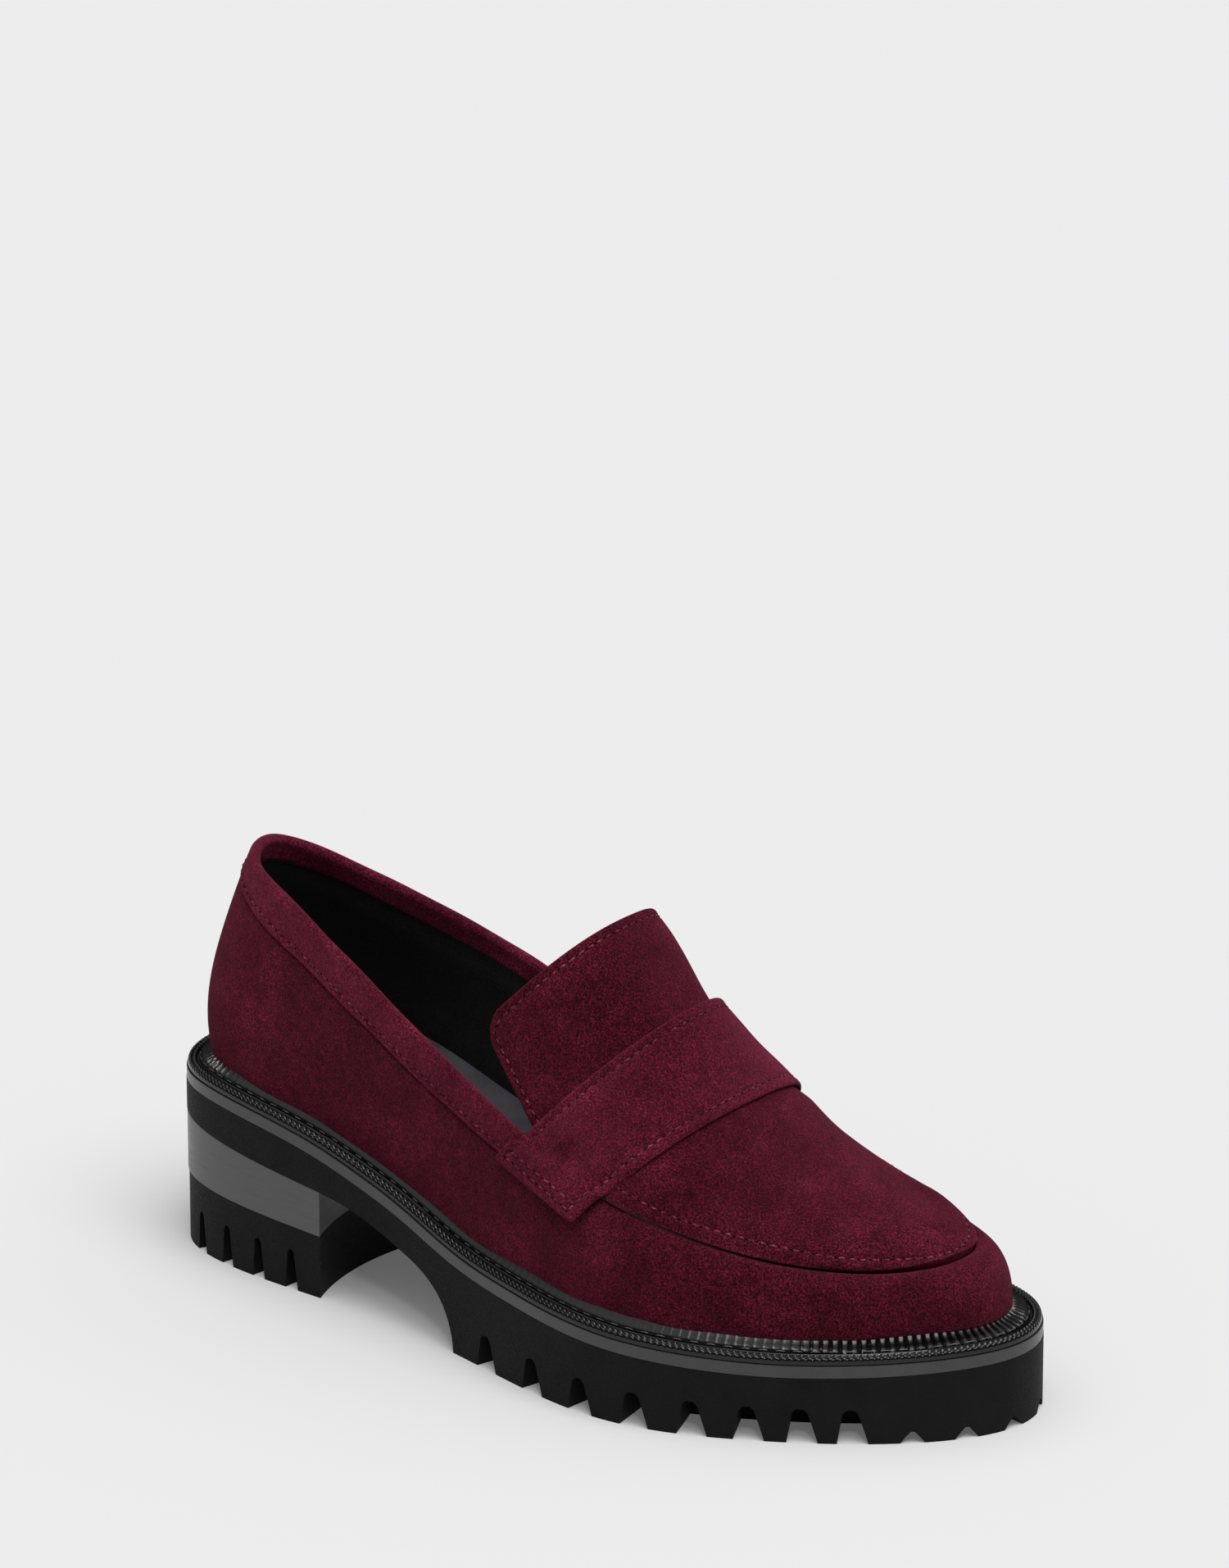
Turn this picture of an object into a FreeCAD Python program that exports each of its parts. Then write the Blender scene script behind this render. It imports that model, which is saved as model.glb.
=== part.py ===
import FreeCAD, Part
import math
import os
from FreeCAD import Placement, Rotation, Vector

# A right-foot lug-sole loafer.  +X runs from heel to toe, +Y to the medial side, +Z up.
# The origin is on the ground, in the middle of the outsole's box.  Stations along the
# foot and distances across it are measured from the back of the heel and the heel's
# centre line, and moved to the origin by place().

DIMENSIONS = [
    ("heel_to_origin", 134.0), ("centre_to_origin", 5.2), ("stack_height", 90.0),
    ("half_span", 80.0), ("air", 0.12), ("lift_gap", 0.02),
    ("heel_breast", 67.8), ("top_piece_front", 18.0), ("top_piece_rear", 21.0),
    ("seat_front", 30.8), ("seat_rear", 39.0),
    ("midsole_thick", 3.4), ("welt_thick", 2.2), ("welt_width", 9.6), ("rib_height", 3.4),
    ("rib_width", 2.1), ("insole_thick", 2.0), ("foam_thick", 3.5),
    ("sock_thick", 1.2), ("shank_thick", 1.4), ("shank_width", 13.0),
    ("nail_radius", 1.0), ("nail_head_radius", 2.2), ("nail_foot", 24.5),
    ("skin_thick", 1.5), ("lining_depth", 2.8), ("lining_thick", 0.8), ("stiffener_thick", 0.7),
    ("collar_width", 10.0), ("collar_width_back", 6.2), ("collar_radius", 1.8),
    ("binding_thick", 0.9),
    ("instep_tilt", 43.0), ("strap_rear", 57.5), ("strap_front", 85.5), ("strap_thick", 1.4),
    ("backing_thick", 0.55), ("tongue_end", 26.0), ("tongue_root", 59.5), ("tongue_thick", 1.5),
    ("lug_depth", 9.5), ("lug_pitch", 19.5), ("toe_lug_pitch", 14.5), ("heel_lug_pitch", 12.4),
    ("breast_radius", 76.0), ("breast_hollow", 8.0),
]

# Sole edge seen from above, once round from the back of the heel along the outer side.
OUTLINE = [(0, 1.5), (11, -26), (47, -36), (91.5, -39), (136.5, -49), (179, -56), (217, -44),
           (251.5, -20), (268, 9), (254, 34.5), (217, 45), (172, 42), (128.5, 32.5),
           (87.5, 31), (46, 34.5), (12, 28)]
# Top of the rubber sole along the foot.
EDGE_HEIGHT = [(0, 47), (30, 45.9), (60, 41.8), (90, 33.6), (120, 24.8), (150, 21.7),
               (195, 19.1), (225, 18.0), (268, 19.7)]
# Distance from the sole's edge in to the upper.
FEATHER = [(0, 8.0), (25, 6.3), (60, 5.5), (180, 6.0), (235, 7.0), (268, 8.7)]
# Upper end of the wall: the topline round the heel, then the apron seam round the toe.
WALL_TOP = [(17, 0.5, 112), (24, -13.5, 110), (47.5, -24, 104), (91, -34, 86.5),
            (138, -40.5, 65.5), (178, -43, 54.3), (213, -30.5, 45.3), (237.5, -9, 41.3),
            (246.5, 10, 41.5), (239, 26, 41.5), (211, 35, 45.0), (172, 35, 55),
            (131, 29.5, 67.5), (90, 29.5, 83), (48, 25, 96.3), (23, 15, 106.5)]
# Wall section along the foot: share of the height that rises straight, bulge low down,
# bulge near the top, and share of the height over which it turns in.
WALL_RISE = [(0, 0.34), (91, 0.34), (136, 0.45), (179, 0.6), (268, 0.62)]
WALL_LOW = [(0, 4.2), (30, 2.6), (91, 2.4), (136, 0.6), (179, -0.3), (268, 0.5)]
WALL_HIGH = [(0, 9.2), (11, 7.4), (47, 3.8), (91, 2.4), (136, 3.0), (179, 3.8), (268, 7.0)]
WALL_TURN = [(0, 0.34), (91, 0.33), (136, 0.18), (179, 0.0), (217, -0.06), (268, -0.15)]
# Instep and apron sections: foot of the section (x, z), ridge (x, z), middle (y),
# half widths on the outer and inner side, and the arch's exponent.
SECTIONS = [((125.0, 48.0), (167.5, 97.8), 0.0, 40.0, 31.0, 1.8),
            ((141.6, 46.0), (176.8, 86.0), 0.0, 43.0, 33.5, 2.0),
            ((158.5, 43.5), (186.4, 75.0), 0.0, 45.5, 37.0, 2.25),
            ((182.0, 40.0), (199.7, 62.6), 0.5, 45.5, 38.0, 2.15),
            ((205.0, 37.5), (214.0, 55.4), 2.5, 39.0, 34.5, 2.0),
            ((225.0, 36.0), (229.5, 49.8), 6.0, 30.0, 26.5, 1.9),
            ((241.0, 35.0), (242.0, 45.4), 9.5, 20.0, 18.5, 1.8),
            ((253.0, 34.0), (253.0, 41.0), 11.0, 15.0, 15.0, 1.8)]
NAILS = [(22, 0.5), (34, -14), (34, 15), (52, -16), (52, 17)]

doc = FreeCAD.newDocument("loafer")
sheet = doc.addObject("Spreadsheet::Sheet", "Sheet")
for row, (name, value) in enumerate(DIMENSIONS, start=1):
    sheet.set("A%d" % row, name)
    sheet.set("B%d" % row, "%g" % value)
    sheet.setAlias("B%d" % row, name)
doc.recompute()


def dim(name):
    """A driving dimension, read from the sheet."""
    return float(sheet.get(name))


# ---------------------------------------------------------------- curves and surfaces

def poles_through(points):
    """Poles of the closed uniform cubic spline that passes through the points."""
    count = len(points)
    poles = [tuple(point) for point in points]
    for _ in range(16):
        poles = [tuple((6 * here - before - after) / 4 for here, before, after
                       in zip(points[i], poles[i - 1], poles[(i + 1) % count]))
                 for i in range(count)]
    return poles


def on_loop(poles, turn):
    """Point of a closed uniform cubic spline; turn counts its points."""
    first = math.floor(turn)
    share = turn - first
    weights = ((1 - share) ** 3 / 6, (3 * share ** 3 - 6 * share ** 2 + 4) / 6,
               (-3 * share ** 3 + 3 * share ** 2 + 3 * share + 1) / 6, share ** 3 / 6)
    near = [poles[(first + k) % len(poles)] for k in (-1, 0, 1, 2)]
    return tuple(sum(w * pole[axis] for w, pole in zip(weights, near))
                 for axis in range(len(near[0])))


def along(table, x):
    """Smooth value at x through a short table of (x, value)."""
    x = min(max(x, table[0][0]), table[-1][0])
    slopes = []
    for i in range(len(table)):
        low = table[max(i - 1, 0)]
        high = table[min(i + 1, len(table) - 1)]
        slopes.append((high[1] - low[1]) / (high[0] - low[0]))
    for i in range(len(table) - 1):
        (x0, y0), (x1, y1) = table[i], table[i + 1]
        if x <= x1:
            span = x1 - x0
            s = (x - x0) / span
            return (y0 * (2 * s ** 3 - 3 * s ** 2 + 1) + y1 * (3 * s ** 2 - 2 * s ** 3)
                    + span * (slopes[i] * (s ** 3 - 2 * s ** 2 + s)
                              + slopes[i + 1] * (s ** 3 - s ** 2)))
    return table[-1][1]


def smooth_step(low, high, x):
    s = min(max((x - low) / (high - low), 0.0), 1.0)
    return s * s * (3 - 2 * s)


def place(x, y, z):
    """Row position of a point given from the back of the heel."""
    return Vector(x - dim("heel_to_origin"), y + dim("centre_to_origin"), z)


OUTLINE_POLES = poles_through(OUTLINE)
TOP_POLES = poles_through(WALL_TOP)
LAPS = len(OUTLINE)


def edge_height(x):
    return along(EDGE_HEIGHT, x)


def outline(turn, inset=0.0):
    """Point of the sole's edge moved in by inset, with its outward direction."""
    x, y = on_loop(OUTLINE_POLES, turn)
    ahead = on_loop(OUTLINE_POLES, turn + 0.01)
    behind = on_loop(OUTLINE_POLES, turn - 0.01)
    tx, ty = ahead[0] - behind[0], ahead[1] - behind[1]
    size = math.hypot(tx, ty)
    out_x, out_y = ty / size, -tx / size
    return x - out_x * inset, y - out_y * inset, out_x, out_y


def wall(turn, share):
    """Outer face of the upper's wall: share 0 at the welt, 1 at the topline or apron."""
    edge_x = outline(turn)[0]
    x, y, out_x, out_y = outline(turn, along(FEATHER, edge_x))
    foot = Vector(x, y, edge_height(edge_x) + dim("midsole_thick") + dim("welt_thick")
                  + 2 * dim("air"))
    top = Vector(*on_loop(TOP_POLES, turn))
    rise = top.z - foot.z
    out = Vector(out_x, out_y, 0)
    low = foot + out * along(WALL_LOW, edge_x) + Vector(0, 0, rise * along(WALL_RISE, edge_x))
    high = top + out * along(WALL_HIGH, edge_x) - Vector(0, 0, rise * along(WALL_TURN, edge_x))
    s = share
    point = (foot * (1 - s) ** 3 + low * (3 * s * (1 - s) ** 2) + high * (3 * s * s * (1 - s))
             + top * s ** 3)
    return place(point.x, point.y, point.z)


def section(position):
    """Section of the instep at a position counted in the sections listed."""
    columns = [[s[0][0], s[0][1], s[1][0], s[1][1], s[2], s[3], s[4], s[5]] for s in SECTIONS]
    values = []
    for column in range(8):
        values.append(along([(i, row[column]) for i, row in enumerate(columns)], position))
    return values


def power(value, exponent):
    return math.copysign(abs(value) ** exponent, value)


def instep(position, angle):
    """Instep and apron face: angle runs from -90 at the outer foot of the section to 90."""
    foot_x, foot_z, ridge_x, ridge_z, middle, outer, inner, exponent = section(position)
    turn = math.radians(angle)
    across = power(math.sin(turn), 2 / exponent)
    up = power(math.cos(turn), 2 / exponent)
    half = outer if across < 0 else inner
    return place(foot_x + (ridge_x - foot_x) * up, middle + half * across,
                 foot_z + (ridge_z - foot_z) * up)


def tongue_face(position, angle):
    """Face of the tongue: position 0 at its free end and 1 at the strap."""
    tilt = math.radians(dim("instep_tilt"))
    along_foot = dim("tongue_end") + (dim("tongue_root") - dim("tongue_end")) * position
    base = 125 - 5 * position
    peak = 186.0 - 4.6 * smooth_step(0, 1, position)
    outer = 33.5 + 2.2 * position
    inner = 24.5 + 2.5 * position
    turn = math.radians(angle)
    across = power(math.sin(turn), 2 / 2.6)
    height = base + (peak - base) * power(math.cos(turn), 2 / 2.6)
    half = outer if across < 0 else inner
    return place(along_foot * math.cos(tilt) + height * math.sin(tilt), half * across,
                 height * math.cos(tilt) - along_foot * math.sin(tilt))


def moved_in(face, u, v, depth, step_u=0.02, step_v=0.01):
    """Point at a depth under a face, square to it."""
    du = face(u + step_u, v) - face(u - step_u, v)
    dv = face(u, v + step_v) - face(u, v - step_v)
    normal = du.cross(dv)
    normal.normalize()
    return face(u, v) - normal * depth


def spread(low, high, count):
    return [low + (high - low) * i / (count - 1) for i in range(count)]


def spline_through(points):
    """Cubic spline through points, with a whole number at each of them."""
    curve = Part.BSplineCurve()
    curve.interpolate(Points=points, Parameters=[float(i) for i in range(len(points))])
    return curve


def surface_at(face, us, v_span, count, depth, step_u=0.02, step_v=0.01):
    """Spline surface at a depth under a face; v_span gives its two ends at each u."""
    grid = []
    for u in us:
        low, high = v_span(u)
        grid.append([moved_in(face, u, v, depth, step_u, step_v)
                     for v in spread(low, high, count)])
    lengthways = [spline_through(column) for column in zip(*grid)]
    across = [spline_through(row) for row in zip(*(curve.getPoles() for curve in lengthways))]
    surface = Part.BSplineSurface()
    surface.buildFromPolesMultsKnots([curve.getPoles() for curve in across],
                                     lengthways[0].getMultiplicities(),
                                     across[0].getMultiplicities(), lengthways[0].getKnots(),
                                     across[0].getKnots(), False, False, 3, 3)
    return surface


def solid_between(first, second):
    """Closed solid between two spline surfaces of the same layout."""
    faces = [first.toShape(), second.toShape()]
    u0, u1, v0, v1 = first.bounds()
    w0, w1, x0, x1 = second.bounds()
    sides = [(first.uIso(u0), second.uIso(w0)), (first.uIso(u1), second.uIso(w1)),
             (first.vIso(v0), second.vIso(x0)), (first.vIso(v1), second.vIso(x1))]
    for here, there in sides:
        ends = [Part.Wire(here.toShape()), Part.Wire(there.toShape())]
        faces += Part.makeLoft(ends, False, True).Faces
    shell = Part.makeShell(faces)
    shell.sewShape()
    solid = Part.makeSolid(shell)
    if solid.Volume < 0:
        solid.reverse()
    return solid


def layer(face, u_span, v_span, depths, counts, steps=(0.02, 0.01)):
    """Solid of one layer of a face, between two depths."""
    us = spread(u_span[0], u_span[1], counts[0])
    outer = surface_at(face, us, v_span, counts[1], depths[0], *steps)
    inner = surface_at(face, us, v_span, counts[1], depths[1], *steps)
    return solid_between(outer, inner)


# ---------------------------------------------------------------- document helpers

def feature(label, shape):
    """A sub-part whose shape is worked out here."""
    item = doc.addObject("Part::Feature", label)
    item.Label = label
    item.Shape = shape
    return item


def boolean(kind, label, base, tool):
    item = doc.addObject("Part::" + kind, label)
    item.Label = label
    item.Base = base
    item.Tool = tool
    return item


def loop_curve(inset, count=48, z=0.0):
    """Closed spline of the sole's edge moved in; inset is a length or a function of x."""
    points = []
    for i in range(count):
        turn = LAPS * i / count
        depth = inset(outline(turn)[0]) if callable(inset) else inset
        x, y, _, _ = outline(turn, depth)
        points.append(place(x, y, z))
    curve = Part.BSplineCurve()
    curve.interpolate(Points=points, PeriodicFlag=True)
    return curve


def plane_of(body, role):
    return next(item for item in body.Origin.OriginFeatures if item.Role == role)


def sketch_on(body, name, role):
    sketch = body.newObject("Sketcher::SketchObject", name)
    sketch.AttachmentSupport = [(plane_of(body, role), "")]
    sketch.MapMode = "FlatFace"
    return sketch


def side_region(sketch, curve_points, beyond):
    """Closed region between a line of points in the side view and a far level."""
    curve = Part.BSplineCurve()
    curve.interpolate([Vector(x, z, 0) for x, z in curve_points])
    first = Vector(curve_points[0][0], curve_points[0][1], 0)
    last = Vector(curve_points[-1][0], curve_points[-1][1], 0)
    far_last = Vector(last.x, beyond, 0)
    far_first = Vector(first.x, beyond, 0)
    sketch.addGeometry(curve)
    for a, b in ((last, far_last), (far_last, far_first), (far_first, first)):
        sketch.addGeometry(Part.LineSegment(a, b))


def edge_line(rise):
    """The sole's top line in the side view, raised, a little longer than the sole."""
    shift = dim("heel_to_origin")
    return [(x - shift, edge_height(x) + rise) for x in spread(-6, 274, 29)]


def sole_layer(label, insets, low, high):
    """Body of one layer of the sole stack, between two rises over the rubber's top line.

    insets holds the outer edge's inset and, on a ring, the inner edge's; low and high
    are expressions in the sheet's cells.
    """
    body = doc.addObject("PartDesign::Body", label)
    body.Label = label
    plan = sketch_on(body, label + "_plan", "XY_Plane")
    for inset in insets:
        plan.addGeometry(loop_curve(inset))
    pad = body.newObject("PartDesign::Pad", label + "_pad")
    pad.Profile = plan
    pad.setExpression("Length", "Sheet.stack_height")
    for name, rise, beyond in (("over", high, 150.0), ("under", low, -60.0)):
        cut = sketch_on(body, label + "_" + name, "XZ_Plane")
        side_region(cut, edge_line(0.0), beyond)
        cut.setExpression("AttachmentOffset.Base.y", rise)
        pocket = body.newObject("PartDesign::Pocket", label + "_" + name + "_cut")
        pocket.Profile = cut
        pocket.Midplane = True
        pocket.setExpression("Length", "Sheet.half_span * 2")
    return body


# ---------------------------------------------------------------- heel and outsole

def plan_prism(name, inset, height_cell):
    """Upright prism over the sole's edge moved in."""
    sketch = doc.addObject("Sketcher::SketchObject", name + "_sketch")
    sketch.addGeometry(loop_curve(inset))
    prism = doc.addObject("Part::Extrusion", name)
    prism.Base = sketch
    prism.DirMode = "Normal"
    prism.Solid = True
    prism.setExpression("LengthFwd", "Sheet." + height_cell)
    return prism


def heel_wedge(name, rear_low, rear_high, front_low, front_high):
    """Wedge from behind the heel to its breast, bound to the sheet's heights."""
    wedge = doc.addObject("Part::Wedge", name)
    # The wedge's own Y runs forward, its X across the foot and its Z up.
    cells = {"Xmin": "-Sheet.half_span", "Xmax": "Sheet.half_span",
             "X2min": "-Sheet.half_span", "X2max": "Sheet.half_span",
             "Ymin": "0", "Ymax": "Sheet.heel_breast",
             "Zmin": rear_low, "Zmax": rear_high, "Z2min": front_low, "Z2max": front_high}
    for key, text in cells.items():
        wedge.setExpression(key, text)
    wedge.Placement = Placement(Vector(-dim("heel_to_origin"), 0, 0),
                                Rotation(Vector(0, 0, 1), -90))
    return wedge


def groove(turn, depth, root, rear_slant, front_slant, length, start=-3.0):
    """Cutter for a groove between two lugs, square to the sole's edge.

    Root is its width at the top. Its walls spread towards the ground by rear_slant on
    the heel's side and by front_slant on the toe's side.
    """
    x, y, out_x, out_y = outline(turn, start)
    towards_toe = Vector(-out_y, out_x, 0)
    if towards_toe.x < 0:
        towards_toe = -towards_toe
    base = place(x, y, -1.0)
    half = root / 2
    corner = min(1.1, half * 0.7)
    profile = [(-half - rear_slant, 0), (half + front_slant, 0), (half, depth + 1 - corner),
               (half - corner, depth + 1), (corner - half, depth + 1),
               (-half, depth + 1 - corner), (-half - rear_slant, 0)]
    wire = Part.makePolygon([base + towards_toe * a + Vector(0, 0, b) for a, b in profile])
    return Part.Face(wire).extrude(Vector(-out_x, -out_y, 0) * length)


def turns_at_pitch(first, last, pitch, ratio=1.0):
    """Turns of the outline one pitch apart, each pitch being ratio times the one before."""
    turns = [first]
    walked = 0.0
    here = outline(first)
    turn = first
    while turn < last:
        turn += 0.01
        there = outline(turn)
        walked += math.hypot(there[0] - here[0], there[1] - here[1])
        here = there
        if walked >= pitch:
            turns.append(turn)
            walked = 0.0
            pitch *= ratio
    return turns


def channel(inset_outer, width, depth, x_low, x_high):
    """Closed channel in the tread, parallel to the sole's edge."""
    outer = Part.Face(Part.Wire(loop_curve(inset_outer, 48, -1.0).toShape()))
    inner = Part.Face(Part.Wire(loop_curve(inset_outer + width, 48, -1.0).toShape()))
    ring = outer.cut(inner).extrude(Vector(0, 0, depth + 1))
    box = Part.makeBox(x_high - x_low, 160, depth + 4, place(x_low, -80, -2))
    return ring.common(box)


def cross_grooves(stations, depth, width, half_length):
    cutters = []
    for x in stations:
        corner = place(x - width / 2, 0, -1.0) - Vector(0, half_length, 0)
        cutters.append(Part.makeBox(width, half_length * 2, depth + 1, corner))
    return cutters


def compound(name, shapes):
    item = doc.addObject("Part::Feature", name)
    item.Shape = Part.makeCompound(shapes)
    return item


breast_cylinder = doc.addObject("Part::Cylinder", "breast_cylinder")
breast_cylinder.setExpression("Radius", "Sheet.breast_radius")
breast_cylinder.setExpression("Height", "Sheet.stack_height")
breast_cylinder.setExpression("Placement.Base.x", "Sheet.heel_breast - Sheet.breast_hollow"
                              " + Sheet.breast_radius - Sheet.heel_to_origin")
heel_prism = boolean("Cut", "heel_prism", plan_prism("heel_plan", 0.4, "stack_height"),
                     breast_cylinder)
lift_prism = boolean("Cut", "lift_prism", plan_prism("lift_plan", 0.1, "stack_height"),
                     breast_cylinder)
top_wedge = heel_wedge("top_piece_wedge", "0", "Sheet.top_piece_rear",
                       "0", "Sheet.top_piece_front")
top_blank = boolean("Common", "top_piece_blank", heel_prism, top_wedge)
heel_turns = turns_at_pitch(1.26, 2.30, dim("heel_lug_pitch")) + [-0.32, 0.32]
heel_turns += turns_at_pitch(LAPS - 2.34, LAPS - 1.1, dim("heel_lug_pitch"))
heel_cuts = [groove(turn, 11.5, 2.3, 0.9, 1.6, 14.0) for turn in heel_turns]
heel_cuts.append(channel(14.0, 4.0, 7.0, -5.0, 60.0))
heel_cuts += cross_grooves([24, 37, 50], 7.0, 3.5, 14.0)
heel_grooves = compound("heel_grooves", heel_cuts)
heel_top_piece = boolean("Cut", "heel_top_piece", top_blank, heel_grooves)

lifts = []
for number in (1, 2, 3):
    marks = []
    for share, gap in (((number - 1) / 3, "+ Sheet.lift_gap"), (number / 3, "")):
        for end in ("rear", "front"):
            marks.append("Sheet.top_piece_%s + (Sheet.seat_%s - Sheet.top_piece_%s) * %.6f %s"
                         % (end, end, end, share, gap))
    wedge = heel_wedge("lift_wedge_%d" % number, marks[0], marks[2], marks[1], marks[3])
    lifts.append(boolean("Common", "heel_lift_blank_%d" % number, lift_prism, wedge))


def side_point(x, z):
    """Point of a sketch in the side view."""
    return Vector(x - dim("heel_to_origin"), z, 0)


def heel_seat(x):
    """Height of the heel block's top at a station, with the gap over it."""
    fall = dim("seat_front") - dim("seat_rear")
    return dim("seat_rear") + fall * x / dim("heel_breast") + dim("lift_gap")


# Outsole: the whole edge down to the ground, then everything below its underside cut away.
outsole_blank = sole_layer("outsole_blank", [0.0], "-60", "0")
under = doc.addObject("Sketcher::SketchObject", "under_sole")
under.Placement = Placement(Vector(0, 0, 0), Rotation(Vector(1, 0, 0), 90))
seat_start, seat_end = (side_point(x, heel_seat(x)) for x in (-8.0, dim("heel_breast")))
shank_line = [seat_end]
shank_line += [side_point(x, edge_height(x) - drop) for x, drop in ((82, 8.0), (96, 8.6), (108, 9.6))]
shank_line += [side_point(x, z) for x, z in ((114.5, 13.0), (118, 7.0), (119.5, 0.0))]
underside = Part.BSplineCurve()
underside.interpolate(shank_line)
under.addGeometry(Part.LineSegment(seat_start, seat_end))
under.addGeometry(underside)
corners = [shank_line[-1], side_point(119.5, -5.0), side_point(-8.0, -5.0), seat_start]
for a, b in zip(corners, corners[1:]):
    under.addGeometry(Part.LineSegment(a, b))
under_block = doc.addObject("Part::Extrusion", "under_block")
under_block.Base = under
under_block.DirMode = "Normal"
under_block.Solid = True
under_block.Symmetric = True
under_block.setExpression("LengthFwd", "Sheet.half_span * 2")
outsole_body = boolean("Cut", "outsole_body", outsole_blank, under_block)
side_turns = turns_at_pitch(3.93, 6.72, dim("lug_pitch"), 0.935)
side_turns += [LAPS - turn for turn in turns_at_pitch(4.1, 6.6, dim("lug_pitch"), 0.935)]
toe_turns = turns_at_pitch(7.05, 9.2, dim("toe_lug_pitch"))
tread_core = Part.Face(Part.Wire(loop_curve(18.0, 48, -2.0).toShape())).extrude(Vector(0, 0, 30))
tread_cuts = [groove(turn, dim("lug_depth"), 4.2, 1.6, 3.0, 17.0) for turn in side_turns]
tread_cuts += [groove(turn, 3.2, 3.2, 2.6, 2.6, 15.0) for turn in toe_turns]
tread_cuts.append(channel(16.0, 4.5, 8.0, 124.0, 262.0))
tread_cuts += [cutter.common(tread_core) for cutter
               in cross_grooves([136, 152, 168, 184, 200, 216, 232], 8.0, 4.5, 30.0)]
tread = compound("tread_grooves", tread_cuts)
outsole_cut = boolean("Cut", "outsole_cut", outsole_body, tread)

# ---------------------------------------------------------------- sole stack

midsole_top = "Sheet.midsole_thick"
welt_low = "Sheet.midsole_thick + Sheet.air"
welt_top = "Sheet.midsole_thick + Sheet.welt_thick"
rib_low = welt_top + " + Sheet.air"


def feather(extra):
    return lambda x: along(FEATHER, x) + extra


midsole_blank = sole_layer("midsole_blank", [0.1], "Sheet.air", midsole_top)
welt = sole_layer("welt", [0.6, dim("welt_width")], welt_low, welt_top)
storm_rib = sole_layer("storm_rib", [feather(-0.95 - dim("rib_width")), feather(-0.95)],
                       rib_low, rib_low + " + Sheet.rib_height")
cork_blank = sole_layer("cork_blank", [dim("welt_width") + 0.2], welt_low, welt_top)
insole_blank = sole_layer("insole_blank", [feather(4.1)], rib_low,
                          rib_low + " + Sheet.insole_thick")
foam_low = rib_low + " + Sheet.insole_thick + Sheet.air"
footbed_foam = sole_layer("footbed_foam", [feather(4.6)], foam_low, foam_low + " + Sheet.foam_thick")
sock_low = foam_low + " + Sheet.foam_thick + Sheet.air"
sock_liner = sole_layer("sock_liner", [feather(4.6)], sock_low, sock_low + " + Sheet.sock_thick")

# Steel shank: a strip under the waist that follows the sole's line.
shank_body = sole_layer("shank_strip", [dim("welt_width") + 4], welt_low + " + 0.3",
                        welt_low + " + 0.3 + Sheet.shank_thick")


def slot_box(name, x_low, x_high, half_width):
    box = doc.addObject("Part::Box", name)
    box.Length = x_high - x_low
    box.Width = half_width * 2
    box.setExpression("Height", "Sheet.stack_height")
    corner = place(x_low, 0, 0)
    box.Placement = Placement(Vector(corner.x, 0.5 - half_width, 0), Rotation())
    return box


shank_box = slot_box("shank_box", 58.0, 158.0, dim("shank_width") / 2)
shank_room = slot_box("shank_room", 57.5, 158.5, dim("shank_width") / 2 + 0.4)
shank = boolean("Common", "shank", shank_body, shank_box)

# Nails that hold the heel, driven from the insole into the lifts.
nail_shapes = []
hole_shapes = []
for x, y in NAILS:
    top = edge_height(x) + dim("midsole_thick") + dim("welt_thick") + dim("insole_thick")
    head_z = top - 1.5
    foot = place(x, y, dim("nail_foot"))
    body_length = head_z - dim("nail_foot")
    stem = Part.makeCylinder(dim("nail_radius"), body_length, foot)
    head = Part.makeCylinder(dim("nail_head_radius"), 1.0, place(x, y, head_z))
    nail_shapes.append(stem.fuse(head).removeSplitter())
    stem_hole = Part.makeCylinder(dim("nail_radius") + 0.05, body_length + 0.2,
                                  place(x, y, dim("nail_foot") - 0.1))
    head_hole = Part.makeCylinder(dim("nail_head_radius") + 0.1, 3.0, place(x, y, head_z - 0.1))
    hole_shapes.append(stem_hole.fuse(head_hole))
heel_nails = feature("heel_nails", Part.makeCompound(nail_shapes))
nail_holes = compound("nail_holes", hole_shapes)

cork_slotted = boolean("Cut", "cork_slotted", cork_blank, shank_room)
drilled = []
for label, base in (("outsole", outsole_cut), ("midsole", midsole_blank),
                    ("cork_filler", cork_slotted), ("insole_board", insole_blank),
                    ("heel_lift_1", lifts[0]), ("heel_lift_2", lifts[1]),
                    ("heel_lift_3", lifts[2])):
    drilled.append(boolean("Cut", label, base, nail_holes))

# ---------------------------------------------------------------- upper

COLLAR_END = 4.02       # turns of the outline from the heel to the collar's two ends
SEAM_BACK = 0.02        # half of the gap in the wall's back seam


def from_heel(turn):
    return min(turn % LAPS, LAPS - turn % LAPS)


def collar_seam(turn):
    """Share of the wall's height at the collar's lower seam, 1 where there's no collar."""
    height = (wall(turn, 1) - wall(turn, 0)).Length
    away = from_heel(turn)
    back = dim("collar_width_back")
    width = back + (dim("collar_width") - back) * smooth_step(0.5, 2.0, away)
    return 1 - width * (1 - smooth_step(COLLAR_END - 0.1, COLLAR_END + 0.35, away)) / height


skin = dim("skin_thick")
lining_low = dim("lining_depth")
lining_high = lining_low + dim("lining_thick")
stiffener_low = skin + 0.35
stiffener_high = stiffener_low + dim("stiffener_thick")
LAP_COUNT = 65


def skin_span(turn):
    return 0.0, collar_seam(turn) - 0.007


def lining_span(turn):
    return 0.05, min(collar_seam(turn) - 0.03, 0.84)


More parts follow.
